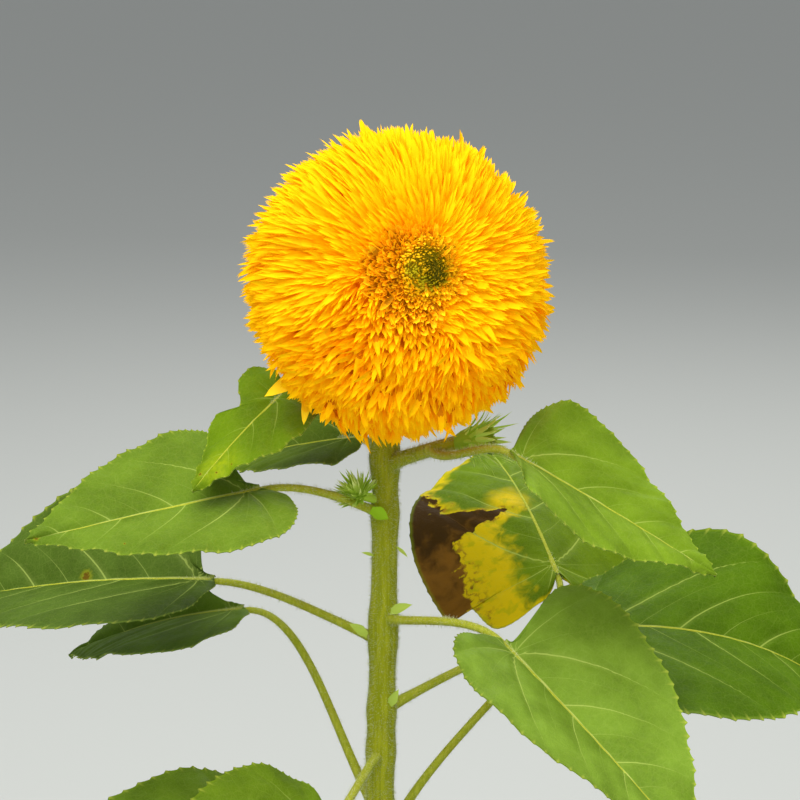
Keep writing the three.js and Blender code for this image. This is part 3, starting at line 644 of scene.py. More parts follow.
def blade_skin(name, leaf, old):
    """Rough green skin with pale veins and a very faint net between them, paler below."""
    skin = Finish(f"blade_skin_{name}", 0.6, 0.06)
    green = leaf["green"]
    flat = skin.mark("flat")
    shifted = flat.vector("ADD", (leaf["chance"], 0, 0))
    phase, pitch, line = skin.mark("veins").parts()
    across, under, rib = skin.mark("skin").parts()
    from_vein = phase.maths("PINGPONG", 0.5) * pitch / line
    side_vein = from_vein.ramp(0.5, 1.5, 1, 0) * line.ramp(0.04, 0.3, 0.06, 0.75)
    halo = from_vein.ramp(1.0, 9.0, 0.14, 0) * line.ramp(0.1, 0.4)
    rib_half = rib * min(0.75, leaf["length"] / 150) + 0.1
    midrib = (flat.parts()[1].maths("ABSOLUTE") / rib_half).ramp(0.5, 1.1, 1, 0)
    coarse, fine = (shifted.cells("DISTANCE_TO_EDGE", scale) for scale in (0.22, 0.7))
    coarse, fine = coarse.ramp(0.01, 0.06, 1, 0), fine.ramp(0.02, 0.16, 1, 0)
    dark = shade(*(v * 0.9 for v in green))
    light = shade(green[0] * 1.08 + 2, green[1] * 1.06 + 2, green[2] * 1.2 + 3)
    vein_colour = shade(*(lerp(v, pale, 0.66) for v, pale in zip(green, VEIN_PALE)))
    colour = shifted.noise(0.05, 3).ramp(0.35, 0.65).blend(dark, light)
    colour = colour.over(shifted.noise(0.35, 4).ramp(0.35, 0.7, 0.5, 0), shade(*green))
    colour = colour.over(shifted.noise(1.4, 3).ramp(0.5, 0.75, 0, 0.3), dark)
    colour = colour.over(fine * NET_SHOW, vein_colour)
    if name in YELLOW_PATCH:
        x, y, size = YELLOW_PATCH[name]
        patch = flat.away(x, y).ramp(0, size, 0.8, 0) * shifted.noise(0.3, 4).ramp(0.3, 0.65, 0.4)
        colour = colour.over(patch, shade(*PATCH_YELLOW))
    if old:
        colour, vein_colour = old_coat(colour, vein_colour, flat, shifted, across)
    for x, y, size in SPOTS.get(name, ()):
        reach = flat.away(x, y) + (shifted.noise(0.8, 3) - 0.5) * 1.6 * size
        colour = colour.over(reach.ramp(size, 2.2 * size, 0.5, 0), shade(*SPOT_RIM))
        colour = colour.over(reach.ramp(0.6 * size, 1.1 * size, 0.85, 0), shade(*SPOT_BROWN))
    colour = colour.over(halo, vein_colour)
    colour = colour.over(coarse * NET_SHOW, vein_colour)
    colour = colour.over(side_vein, vein_colour)
    colour = colour.over(midrib * 0.85, vein_colour if old else shade(*RIB_PALE))
    colour = colour.over(across.ramp(0.965, 1.0, 0, 0.35), shade(*MARGIN_PALE))
    if not old:
        colour = colour.over(skin.mark("tooth", "Fac").ramp(0.3, 0.9, 0, 0.5), shade(*TOOTH_PALE))
    skin.wear("Base Color", colour.over(under * 0.5, shade(*UNDER_PALE)))
    skin.wear("Roughness", shifted.noise(0.4, 2).ramp(0.3, 0.7, 0.52, 0.68))
    skin.bump(coarse * -0.15 - fine * 0.12 - side_vein * 0.6 + shifted.noise(1.1, 3) * 0.4, 0.0004, 0.55)
    return skin.material


for name, leaf in LEAVES.items():
    shape, marks = blade_shape(leaf)
    old = name == "far_right"
    add_piece(f"blade_{name}_skin", shape, [blade_skin(name, leaf, old)],
              [f"blade_{name}"], marks=marks)

# Flower head, florets
# Thousands of cupped golden straps with long points or small teeth, packed round the disc and brushed
# outwards from it. They stand in an orange core, and those near the disc are short and narrow.
HEAD_FRONT, HEAD_RADIUS, BACK_SHRINK = 43, 65, 9
STRAP_COUNT, STRAP_FIRST, STRAP_LAST, STRAP_CROWDING = 6600, 13, 124, 1.2
STRAP_STEPS = np.array([0, 0.25, 0.47, 0.67, 0.85, 1])
STRAP_LINES = np.array([-1, -0.5, 0, 0.5, 1])
POINTED = (0.88, 0.96, 1, 0.96, 0.88)
TWO_TEETH = (0.84, 1, 0.86, 0.97, 0.82)
THREE_TEETH = (0.93, 0.85, 1, 0.84, 0.95)
STRAP_ENDS, END_WIDTHS, END_SHARES = [POINTED, TWO_TEETH, THREE_TEETH], [0.07, 0.36, 0.5], [0.62, 0.23, 0.15]
OLD_DEPTH, YOUNG_DEPTH = 13, 6
OLD_LEAN, ERECT_LEAN, YOUNG_LEAN, LOW_LEAN, LOW_YOUNG_LEAN = 13.5, 8, 2.8, 5, 1.5
OLD_WIDTH, LOW_EXTRA_WIDTH, YOUNG_WIDTH = 2.6, 0.8, 1.9
ERECT_EXTRA, LONG_SHARE, LONG_EXTRA = 2.4, 0.12, (0.5, 3.5)
STRAP_CUP, STRAP_TWIST = (0.4, 0.2), 16
RING_EDGE, RING_SKEW, RING_SAG = 27, 14, 6
PETAL_COLOURS = [(206, 120, 0), (240, 157, 0), (252, 178, 0), (255, 189, 0), (255, 195, 0), (255, 199, 0),
                 (255, 203, 0)]
CORE_FIRST, CORE_LAST, CORE_ROWS, CORE_SIDES, CORE_BACK = 10, 116, 50, 72, (24, -15.7)
CORE_BELOW_RING, CORE_BELOW_STRAPS = 5.6, 11.5


def turned_to(axis):
    """The rotation that takes +Z to an axis the short way."""
    x, y, _ = np.cross([0, 0, 1], axis)
    roll = np.array([[0, 0, y], [0, 0, -x], [-y, x, 0]])
    return np.eye(3) + roll + roll @ roll / (1 + axis[2])


HEAD_TURN = turned_to(HEAD_AXIS)
to_right, to_top = (unit((HEAD_TURN.T @ np.array(way)) * [1, 1, 0]) for way in ((1, 0, 0), (0, 0, 1)))


def moved(shape, place, turn):
    """A shape built round +Z, turned and set in its place."""
    return place + shape[0] @ turn.T, shape[1]


def on_head(shape):
    return moved(shape, HEAD_CENTRE, HEAD_TURN)


def dome(radius, angle, around):
    """Points round +Z: how far out, how far from the axis and how far round it, in degrees."""
    a, b = np.radians(angle), np.radians(around)
    spread = np.stack(np.broadcast_arrays(np.sin(a) * np.cos(b), np.sin(a) * np.sin(b), np.cos(a)), -1)
    return spread * np.asarray(radius, float)[..., None]


def packed(count, first, last, crowding):
    """Angles from the axis that spread florets evenly between two angles, and closer near the first."""
    share = ((np.arange(count) + 0.5) / count) ** crowding
    return np.degrees(np.arccos(lerp(math.cos(math.radians(first)), math.cos(math.radians(last)), share)))


def tip_radius(angle):
    return lerp(HEAD_FRONT, HEAD_RADIUS, smooth(angle, 0, 88)) - BACK_SHRINK * smooth(angle, 92, 140)


def drift(directions, detail, seed):
    """A smooth random value for each direction, about -1 to 1."""
    chance = np.random.default_rng(seed)
    waves = chance.normal(0, detail, (3, 7))
    return np.sin(directions @ waves + chance.uniform(0, 6.3, 7)).sum(-1) / 2.6


def from_ring(where, angle):
    """How many degrees outside the ring of short florets a direction is; it is wider at the lower left."""
    shift = RING_SKEW * (where @ to_right) + RING_SAG * (where @ to_top)
    return angle + 2.5 * drift(where, 8, 23) + shift - RING_EDGE


def plain(name, colour, roughness, specular, painted_glow=0.0):
    """One plain colour for small joined parts, with a painted glow in the same colour."""
    paint = Finish(name, roughness, specular)
    paint.wear("Base Color", shade(*colour))
    # Painted light: the emission makes the part glow in its own colour, though it is no lamp, standing in for
    # light shining through it and lifting its shade.
    if painted_glow:
        paint.wear("Emission Color", shade(*colour))
        paint.wear("Emission Strength", painted_glow)
    return paint.material


def plain_set(name, colours, *finish):
    return [plain(f"{name}_{i + 1}", colour, *finish) for i, colour in enumerate(colours)]


def straps(start, bend, end, side, face, width, cup, reach, narrow):
    """Cupped straps along curves; reach is how far each of the five lines of a strap runs, and narrow
    the width left at its end. One cup, reach or narrow may stand for all."""
    count = len(start)
    width, cup, left = (np.broadcast_to(values, count)[:, None, None] for values in (width, cup, narrow))
    s = STRAP_STEPS[None, :, None] * np.broadcast_to(reach, (count, len(STRAP_LINES)))[:, None, :]
    share = s[..., None]
    path = ((1 - share) ** 2 * start[:, None, None] + 2 * share * (1 - share) * bend[:, None, None]
            + share ** 2 * end[:, None, None])
    begin = 0.3 + 0.5 * left
    taper = np.clip((s - begin) / (1 - begin), 0, 1) ** 1.4
    half = lerp(0.5, 1.0, smooth(s, 0, 0.5)) * (1 - (1 - left) * taper) * width / 2
    out = side[:, None, None] * (STRAP_LINES * half)[..., None]
    lift = face[:, None, None] * (STRAP_LINES ** 2 * half * cup)[..., None]
    cells = grid_faces(len(STRAP_STEPS), len(STRAP_LINES))
    size = len(STRAP_STEPS) * len(STRAP_LINES)
    faces = (cells[None] + (np.arange(count) * size)[:, None, None]).reshape(-1, 3)
    return (path + out + lift).reshape(-1, 3), faces


def strap_rows(count):
    """The row of each triangle of count straps, from the root on."""
    rows = np.repeat(np.arange(len(STRAP_STEPS) - 1), (len(STRAP_LINES) - 1) * 2)
    return np.tile(rows, count)


STRAP_FACES = len(strap_rows(1))


def tones(own, by_row, last):
    """The colour of each triangle of some straps: the strap's own number and one more for its row."""
    return np.clip(np.repeat(own, STRAP_FACES) + np.array(by_row)[strap_rows(len(own))], 0, last)


# The petal colours glow a little: painted light that stands in for light shining through them and flattens
# the shade between the straps.
petal_skins = plain_set("petal_skin", PETAL_COLOURS, 0.75, 0.06, 0.12)
chance = np.random.default_rng(11)
angle = packed(STRAP_COUNT, STRAP_FIRST, STRAP_LAST, STRAP_CROWDING) + chance.normal(0, 0.9, STRAP_COUNT)
around = np.arange(STRAP_COUNT) * GOLDEN_ANGLE + chance.normal(0, 1.0, STRAP_COUNT)
kept = from_ring(dome(1, angle, around), angle) > chance.normal(-0.5, 1.2, STRAP_COUNT)
angle, around = angle[kept], around[kept]
count = len(angle)
where = dome(1, angle, around)
young = 1 - smooth(from_ring(where, angle), -3, 20)
lower = smooth(-(where @ to_top), -0.25, 0.45)
lowest = smooth(-(where @ to_top), 0.1, 0.8)
erect = chance.random(count) ** 2
depth = lerp(OLD_DEPTH, YOUNG_DEPTH, young) * chance.uniform(0.85, 1.15, count)
upper_lean = lerp(lerp(OLD_LEAN, ERECT_LEAN, erect), YOUNG_LEAN, young)
lean = lerp(upper_lean, lerp(LOW_LEAN, LOW_YOUNG_LEAN, young), 0.8 * lower)
lean *= (1 + 0.2 * drift(where, 5, 3)) * chance.uniform(0.85, 1.15, count)
swing = 3 * drift(where, 7, 5) + chance.normal(0, 1.6, count) * (1 + 1.5 * lowest)
swing /= np.maximum(np.sin(np.radians(angle)), 0.3)
tall = tip_radius(angle) + 1.4 * drift(where, 9, 7) + chance.normal(0, 1.1, count) - 1.5
longer = np.where(chance.random(count) < LONG_SHARE, chance.uniform(*LONG_EXTRA, count), 0)
tall += (ERECT_EXTRA * erect + longer) * (1 - young)
start = dome(tall - depth, angle - lean, around - swing)
bend = dome(tall - depth * chance.uniform(0.35, 0.55, count), angle - lean * 0.7, around - swing * 0.6)
end = dome(tall, angle, around)
way = unit(end - bend)
side = unit(np.cross(where, way))
face = np.cross(way, side)
twist = np.radians(20 * drift(where, 11, 9) + chance.normal(0, STRAP_TWIST, count))[:, None]
side, face = side * np.cos(twist) + face * np.sin(twist), face * np.cos(twist) - side * np.sin(twist)
width = lerp(OLD_WIDTH + LOW_EXTRA_WIDTH * lower, YOUNG_WIDTH, young) * chance.uniform(0.72, 1.22, count)
cup = chance.normal(*STRAP_CUP, count)
ends = chance.choice(3, count, p=END_SHARES)
points, faces = straps(start, bend, end, side, face, width, cup, np.array(STRAP_ENDS)[ends],
                       np.array(END_WIDTHS)[ends])
# Each strap's tone varies at random and by place, and the straps at the very bottom of the head are painted
# darker, as painted shade.
tone = 2.1 + 0.7 * lower + 0.6 * drift(where, 8, 13) + chance.normal(0, 0.5, count) - 1.5 * lowest
tone = np.clip(np.round(tone), 1, 3)
# Painted light and shade: the roots are painted lighter across the upper half, where light from above falls,
# and darker across the lower half, as painted shade between the straps.
painted_root_shade = np.repeat(np.round(1.2 * lower + 1.8 * lowest - 1.0), STRAP_FACES) * (strap_rows(count) < 2)
strap_tones = np.clip(tones(tone, (0, 1, 1, 2, 3), 6) - painted_root_shade, 0, 6)
half_way = count // 2
for name, part in (("front_florets", slice(0, half_way)), ("back_florets", slice(half_way, count))):
    own = faces.reshape(count, STRAP_FACES, 3)[part].reshape(-1, 3)
    shape = (points[own.min():own.max() + 1], own - own.min())
    add_piece(name, on_head(shape), petal_skins, ["head_florets"],
              strap_tones.reshape(count, STRAP_FACES)[part].ravel())


def turned(profile, sides):
    """A closed skin turned about +Z; the profile's pairs of radius and height run from front to back."""
    profile = np.asarray(profile, float)
    a = round_turn(sides)
    rings = np.stack([profile[:, :1] * np.cos(a), profile[:, :1] * np.sin(a),
                      np.repeat(profile[:, 1:], sides, 1)], -1)
    return capped(rings)


core_angles = np.linspace(CORE_FIRST, CORE_LAST, CORE_ROWS)
core_radii = tip_radius(core_angles) - lerp(CORE_BELOW_RING, CORE_BELOW_STRAPS, smooth(core_angles, 18, 48))
core_profile = dome(core_radii, core_angles, 0)[:, [0, 2]]
core = turned([*core_profile, CORE_BACK], CORE_SIDES)
# Both core colours glow a little, as painted light. The darker one, dealt under the ring, is painted shade in
# the gaps between the ring's florets.
core_skins = [plain("core_skin", (244, 146, 0), 0.8, 0.05, 0.06),
              plain("core_shade", (206, 130, 0), 0.8, 0.05, 0.08)]
middle = unit(core[0][core[1]].mean(1))
ring_part = from_ring(middle, np.degrees(np.arccos(middle[:, 2]))) < 2
add_piece("floret_core", on_head(core), core_skins, ["head_florets"], ring_part)

# Flower head, disc
# The dimpled centre: olive ground, darkest a little right of the middle, with small golden and
# yellow-green hooks curled inwards. A ring of short ragged amber florets surrounds it.
DISC_BUDS, DISC_RADIUS = 470, 12.8
RING_COUNT, RING_FIRST, RING_LAST, RING_CROWDING = 1250, 14.2, 44, 1.1
RING_DEPTHS, RING_WIDTHS, RING_CUP, RING_TWIST = (4.5, 6), (1.4, 3.2), (1.0, 0.35), 0.8
BUD_LENGTHS, BUD_WIDTHS, BUD_CUP_DEPTH, LIME_FROM = (1.8, 3.6), (1.0, 1.45), (0.7, 0.2), 0.45
DISC_COLOURS = [(96, 88, 6), (150, 132, 10), (206, 164, 12), (236, 184, 14), (252, 198, 14), (255, 208, 14),
                (188, 124, 4), (240, 168, 10), (255, 190, 12), (255, 202, 14), (255, 212, 16), (198, 182, 22)]
OLIVE, OCHRE, AMBER, LIME = 0, 1, 6, 11
# The first rows are painted shade for ring florets on the ring's shaded side, and the second are the ring's
# own colours.
SHADED_ROWS, LIT_ROWS = np.array([6, 6, 7, 8, 9]), np.array([6, 7, 8, 9, 9])
GROUND_PROFILE = [(0.2, 38.6), (3, 38.9), (5, 39.6), (8.5, 40.0), (11.5, 39.4), (16, 38.6), (18, 36),
                  (0.2, 35.5)]
ROOT_RADII, ROOT_LEVELS = [0, 3, 5, 8.5, 11.6], [38.3, 38.6, 39.3, 39.8, 39.2]
OLIVE_REACH, GROUND_EDGE = 5.5, 10.5
# Each patch has its place right and up from the middle, its squared spreads and its strength.
DARK_PATCHES = [(3, -2, 15, 15, 1), (3, 5, 20, 20, 0.3)]
GREEN_PATCHES = [(-0.5, -6.2, 20.25, 10.24, 1), (-7, 0, 12, 12, 1)]


def patches(listed, right, high):
    return sum(strength * np.exp(-((right - x) ** 2 / wide + (high - y) ** 2 / tall))
               for x, y, wide, tall, strength in listed)


def spiral(count):
    """Serial numbers, the turn of each in degrees by the golden angle, and its level direction."""
    serial = np.arange(count)
    return serial, serial * GOLDEN_ANGLE, dome(1, 90, serial * GOLDEN_ANGLE)


# The disc's colours glow a little: painted light that lifts the shade in the dimple and among the ring's
# florets.
disc_skins = plain_set("disc_skin", DISC_COLOURS, 0.7, 0.08, 0.14)
ground = turned(GROUND_PROFILE, 48)
middle = ground[0][ground[1]].mean(1)
from_dark = np.hypot(middle @ to_right - DARK_PATCHES[0][0], middle @ to_top - DARK_PATCHES[0][1])
ground_tones = np.where(from_dark > OLIVE_REACH, OCHRE, OLIVE)
ground_tones = np.where(np.hypot(middle[:, 0], middle[:, 1]) > GROUND_EDGE, AMBER, ground_tones)
add_piece("disc_ground", on_head(ground), disc_skins, ["head_disc"], ground_tones)

upward = np.array([0, 0, 1.0])
chance = np.random.default_rng(21)
serial, _, out = spiral(DISC_BUDS)
spread = DISC_RADIUS * np.sqrt((serial + 0.5) / DISC_BUDS)
root = out * spread[:, None] + upward * np.interp(spread, ROOT_RADII, ROOT_LEVELS)[:, None]
root = root + chance.normal(0, 0.08, (DISC_BUDS, 3))
right, high = root @ to_right, root @ to_top
dark, green = patches(DARK_PATCHES, right, high), patches(GREEN_PATCHES, right, high)
axis = unit(out * (0.06 * spread - 0.1)[:, None] + upward + chance.normal(0, 0.1, (DISC_BUDS, 3)))
length = lerp(*BUD_LENGTHS, spread / DISC_RADIUS) * chance.uniform(0.7, 1.35, DISC_BUDS)
start = root - axis * 1.2
end = root + axis * length[:, None] - out * (chance.normal(0.3, 0.2, DISC_BUDS) * length)[:, None]
bend = root + axis * (0.75 * length)[:, None] + out * (0.25 * length)[:, None]
side = unit(np.cross(out, axis))
width = lerp(*BUD_WIDTHS, spread / DISC_RADIUS) * chance.uniform(0.8, 1.15, DISC_BUDS)
buds = straps(start, bend, end, side, -out, width, chance.normal(*BUD_CUP_DEPTH, DISC_BUDS), THREE_TEETH, 0.3)
bud_tone = np.round(1.5 - 2 * dark + chance.normal(0, 0.4, DISC_BUDS) + 1.3 * smooth(spread, 5, 12))
lime = (np.repeat(green, STRAP_FACES) > LIME_FROM) & (strap_rows(DISC_BUDS) > 2)
add_piece("disc_buds", on_head(buds), disc_skins, ["head_disc"],
          np.where(lime, LIME, tones(bud_tone, (-1, 0, 0, 1, 2), 4)))

angle = packed(RING_COUNT, RING_FIRST, RING_LAST, RING_CROWDING) + chance.normal(0, 0.5, RING_COUNT)
around = np.arange(RING_COUNT) * GOLDEN_ANGLE + 40
where = dome(1, angle, around)
kept = from_ring(where, angle) < chance.normal(0.8, 0.8, RING_COUNT)
angle, around, where = angle[kept], around[kept], where[kept]
count = len(angle)
open_share = smooth(angle, 12, 34)
# Painted shade: florets towards the left and the bottom of the ring, and some by chance, take the darker rows
# of colour.
shaded = smooth(-(where @ to_right) - 0.5 * (where @ to_top), -0.1, 0.3) + 0.5 * chance.random(count)
tall = tip_radius(angle) - lerp(1.6, 1.2, open_share) + 0.8 * drift(where, 14, 25)
tall += chance.normal(0, 0.9, count)
depth = lerp(*RING_DEPTHS, open_share)
lean = chance.normal(3, 2.5, count)
start = dome(tall - depth, angle - lean, around + chance.normal(0, 4, count))
bend = dome(tall - 0.4 * depth, angle - lean * 0.2, around)
end = dome(tall, angle, around)
side = unit(np.cross(where, dome(1, angle + 90, around)))
twist = chance.normal(0, RING_TWIST, count)[:, None]
side = side * np.cos(twist) + np.cross(where, side) * np.sin(twist)
ends = chance.choice(2, count)
width = lerp(*RING_WIDTHS, open_share) * chance.uniform(0.7, 1.3, count)
cup, narrow = chance.normal(*RING_CUP, count), chance.uniform(0.35, 0.7, count)
ring = straps(start, bend, end, side, unit(np.cross(unit(end - bend), side)), width, cup,
              np.array(STRAP_ENDS[1:])[ends], narrow)
rows = strap_rows(count)
ring_tones = np.where(np.repeat(shaded > 0.8, STRAP_FACES), SHADED_ROWS[rows], LIT_ROWS[rows])
ring_tones += (rows > 2) * np.repeat(chance.random(count) < 0.35, STRAP_FACES)
add_piece("ring_florets", on_head(ring), disc_skins, ["head_disc"], ring_tones)

# Flower head, wide petals and green back
# Two wide petals hang out at the lower left. Behind the florets a green cup widens from the neck,
# and three rows of pointed bracts spread from its rim.
# Each wide petal has its root, its tip, the way it faces, its width, its cup and the width of its tip.
# Each measure of the bracts is that of the first row, with the step to the next row.
WIDE_PETALS = [((-19, -42, 478), (-42.7, -50, 467), (-0.15, -0.85, 0.5), 9.5, 0.2, 0.1),
               ((-23, -44, 470), (-26.4, -52, 455.5), (-0.3, -0.9, 0.1), 5, 0.25, 0.12)]
CUP_PROFILE = [(0.3, -15.4), (23, -16), (23, -18.8), (17, -23.5), (9, -27.5), (5.6, -30), (5.2, -31)]
REAR_COUNT, REAR_INNER, REAR_OUT, REAR_BACK, REAR_WIDTHS = 700, 25, (11, 16), (2.5, 5), (3, 4.4)
BRACT_COUNT, BRACT_ROWS, BRACT_END = 42, 3, (0.86, 0.96, 1, 0.96, 0.86)
BRACT_LENGTHS, BRACT_RADII, BRACT_DEPTHS, BRACT_DIPS = (33, -2), (15, -2.5), (20.5, 1.6), (0.36, 0.16)
BRACT_CURLS, BRACT_WIDTHS = (-1.5, 2), (10, 13)
BRACT_GREENS = [(84, 112, 14), (104, 132, 24), (124, 150, 40), (150, 170, 66)]
TIP_PALE, OUTER_HALF_PALE, GRADED = (0, 0, 0, 0, 1), (0, 0, 0, 1, 1), (0, 0, 1, 1, 2)

# Both colours glow, the tips more: painted light that lifts the wide petals out of the head's shade.
wide_skins = [plain("wide_petal_root", (255, 204, 10), 0.7, 0.08, 0.1),
              plain("wide_petal_tip", (255, 216, 30), 0.7, 0.08, 0.16)]
start, end, face, width, cup, narrow = (np.array(values, float) for values in zip(*WIDE_PETALS))
face = unit(face)
side = unit(np.cross(face, end - start))
wide_petals = straps(start, (start + end) / 2 + face * 2.5, end, side, face, width, cup, POINTED, narrow)
add_piece("wide_petals", wide_petals, wide_skins, (), tones([0, 0], OUTER_HALF_PALE, 1))

chance = np.random.default_rng(33)
serial, _, out = spiral(REAR_COUNT)
core_edge = core_profile[-1]
reach_out = lerp(REAR_INNER, core_edge[0], np.sqrt((serial + 0.5) / REAR_COUNT))
back_depth = np.interp(reach_out, [CORE_BACK[0], core_edge[0]], [-CORE_BACK[1], -core_edge[1]])
start = out * reach_out[:, None] - upward * (back_depth - 1)[:, None]
end = start + out * chance.uniform(*REAR_OUT, REAR_COUNT)[:, None]
end -= upward * chance.uniform(*REAR_BACK, REAR_COUNT)[:, None]
end += chance.normal(0, 1, (REAR_COUNT, 3))
bend = (start + end) / 2 - upward * 1.6
side = unit(np.cross(-upward, end - start))
width, cup = chance.uniform(*REAR_WIDTHS, REAR_COUNT), chance.normal(-0.3, 0.2, REAR_COUNT)
rear = straps(start, bend, end, side, np.cross(unit(end - start), side), width, cup, POINTED, 0.1)
add_piece("rear_florets", on_head(rear), petal_skins, ["head_florets"],
          tones(chance.integers(0, 3, REAR_COUNT), GRADED, 4))

bract_skins = plain_set("bract_skin", BRACT_GREENS, 0.6, 0.25)
chance = np.random.default_rng(31)
add_piece("head_cup", on_head(turned(CUP_PROFILE, 48)), [bract_skins[1]], ["head_involucre"])
serial = np.arange(BRACT_COUNT)
row = serial % BRACT_ROWS
turn = (serial // BRACT_ROWS) * 360 / (BRACT_COUNT / BRACT_ROWS) + row * 360 / BRACT_COUNT
out = dome(1, 90, turn + chance.normal(0, 3, BRACT_COUNT))
radius, back, dip, length, curl = (first + row * step for first, step in (
    BRACT_RADII, BRACT_DEPTHS, BRACT_DIPS, BRACT_LENGTHS, BRACT_CURLS))
start = out * radius[:, None] - upward * back[:, None]
way = unit(out - upward * dip[:, None])
end = start + way * (length + chance.normal(0, 1.5, BRACT_COUNT))[:, None]
end -= upward * (curl + chance.normal(0, 1.2, BRACT_COUNT))[:, None]
bend = (start + end) / 2 + upward
side = unit(np.cross(-upward, way))
width, cup = chance.uniform(*BRACT_WIDTHS, BRACT_COUNT), chance.normal(-0.2, 0.15, BRACT_COUNT)
bracts = straps(start, bend, end, side, np.cross(way, side), width, cup, BRACT_END, 0.06)
add_piece("head_bracts", on_head(bracts), bract_skins, ["head_involucre"],
          tones(chance.integers(0, 3, BRACT_COUNT), TIP_PALE, 3))

# Side bud
# A half-open bud on the side branch: a green cup with long curling bracts round a tuft of young
# greenish-yellow florets.
BUD_CUP = [(0.3, 12), (5.2, 12), (6.4, 10), (6.2, 7), (4.8, 3), (3.1, 0.3), (2.8, 0)]
BUD_BRACTS, BUD_TUFTS, BUD_MOUTH, NARROW_END = 64, 120, 11.4, (0.8, 0.94, 1, 0.94, 0.8)
BUD_PLACE, BUD_TURN = np.array(BRANCH_END), turned_to(unit(BUD_AXIS - [0, 0.1, 0.15]))
YOUNG_GREENS = [(124, 154, 34), (148, 176, 52), (172, 194, 80), (198, 212, 122), (142, 186, 34)]
YOUNG_YELLOWS = [(118, 150, 26), (146, 168, 30), (172, 182, 36)]
BUD_ROOTS, BUD_HEIGHTS, BUD_LEAF_LENGTHS, BUD_LEAF_WIDTHS = (3.6, 6.0), (1.0, 10.0), (14, 17), (1.5, 2.6)
TUFT_RADIUS, TUFT_LENGTHS, TUFT_WIDTHS, CUP_SPREAD = 4.6, (4.0, 5.5), (1.2, 2.0), 0.2


def bud_straps(start, bend, end, out, chance, widths, cup, reach, narrow):
    """Straps that face outwards, with widths and cups drawn by chance."""
    count = len(start)
    side = unit(np.cross(out, end - start))
    width = chance.uniform(*widths, count)
    return straps(start, bend, end, side, out, width, chance.normal(cup, CUP_SPREAD, count), reach, narrow)


# These greens glow: painted light that lifts the buds and leaflets out of the head's shade.
young_bracts = plain_set("young_bract", YOUNG_GREENS, 0.6, 0.08, 0.22)
chance = np.random.default_rng(41)
add_piece("side_bud_cup", moved(turned(BUD_CUP, 32), BUD_PLACE, BUD_TURN), [young_bracts[0]],
          ["side_bud_bracts"])
serial, around, out = spiral(BUD_BRACTS)
inner = serial / BUD_BRACTS
start = out * lerp(*BUD_ROOTS, inner)[:, None] + upward * lerp(*BUD_HEIGHTS, inner)[:, None]
length = lerp(*BUD_LEAF_LENGTHS, inner) * chance.uniform(0.7, 1.1, BUD_BRACTS)
end = start + dome(length, 52 - 34 * inner, around) + chance.normal(0, 1.3, (BUD_BRACTS, 3))
bend = start + dome(0.55 * length, 22 - 14 * inner, around)
bud_leaves = bud_straps(start, bend, end, out, chance, BUD_LEAF_WIDTHS, -0.35, NARROW_END, 0.06)
add_piece("side_bud_leaves", moved(bud_leaves, BUD_PLACE, BUD_TURN), young_bracts,
          ["side_bud_bracts"], tones(chance.integers(1, 3, BUD_BRACTS), TIP_PALE, 3))

serial, around, out = spiral(BUD_TUFTS)
spread = np.sqrt((serial + 0.5) / BUD_TUFTS)
start = out * (TUFT_RADIUS * spread)[:, None] + upward * BUD_MOUTH
end = start + dome(lerp(*TUFT_LENGTHS, spread), 4 + 20 * spread, around)
end += chance.normal(0, 0.5, (BUD_TUFTS, 3))
bend = (start + end) / 2 + upward * 0.8
tuft = bud_straps(start, bend, end, out, chance, TUFT_WIDTHS, 0.4, POINTED, 0.12)
# These yellows glow faintly, as painted light.
young_petals = plain_set("young_petal", YOUNG_YELLOWS, 0.5, 0.25, 0.03)
add_piece("side_bud_tuft", moved(tuft, BUD_PLACE, BUD_TURN), young_petals, ["side_bud_florets"],
          tones(chance.integers(-1, 2, BUD_TUFTS), GRADED, 2))

# Closed bud and leaflets
# A small closed bud of narrow bracts sits in the angle of the upper left stalk, on a short stalk of
# its own, and small pointed leaflets sit at the nodes of the stem.
CLOSED_FOOT, CLOSED_AXIS = np.array([-3.5, -6.0, 412.5]), unit(np.array([-0.5, -0.3, 0.8]))
CLOSED_BRACTS, CLOSED_LENGTH, CLOSED_ROOT, CLOSED_WIDTHS, CLOSED_TURNS = 120, 16, 1.5, (1.2, 2.1), (4, 72)
CLOSED_STALK, CLOSED_STALK_ROWS, CLOSED_STALK_SIDES = 2.0, 12, 14
# Each leaflet has its root, its tip, its width and its green. The first four stand for solids.
LEAFLETS = [((0.8, -7.4, 407.6), (8.6, -8.8, 404), 6.8, 4), ((9, -5.5, 361), (19, -12, 366.5), 5, 2),
            ((-1, -4, 350), (-9, -9, 357), 5, 2), ((9, -5, 318), (13, -9, 327), 4.5, 2),
            ((2, -3, 386), (-3.5, -5, 388), 1.8, 2), ((12, -3, 390), (17, -6, 386), 1.8, 2)]
LEAFLET_END, LEAFLET_FACE, LEAFLET_SOLIDS = (0.78, 0.93, 1, 0.93, 0.78), np.array([0.1, -0.8, 0.5]), 4

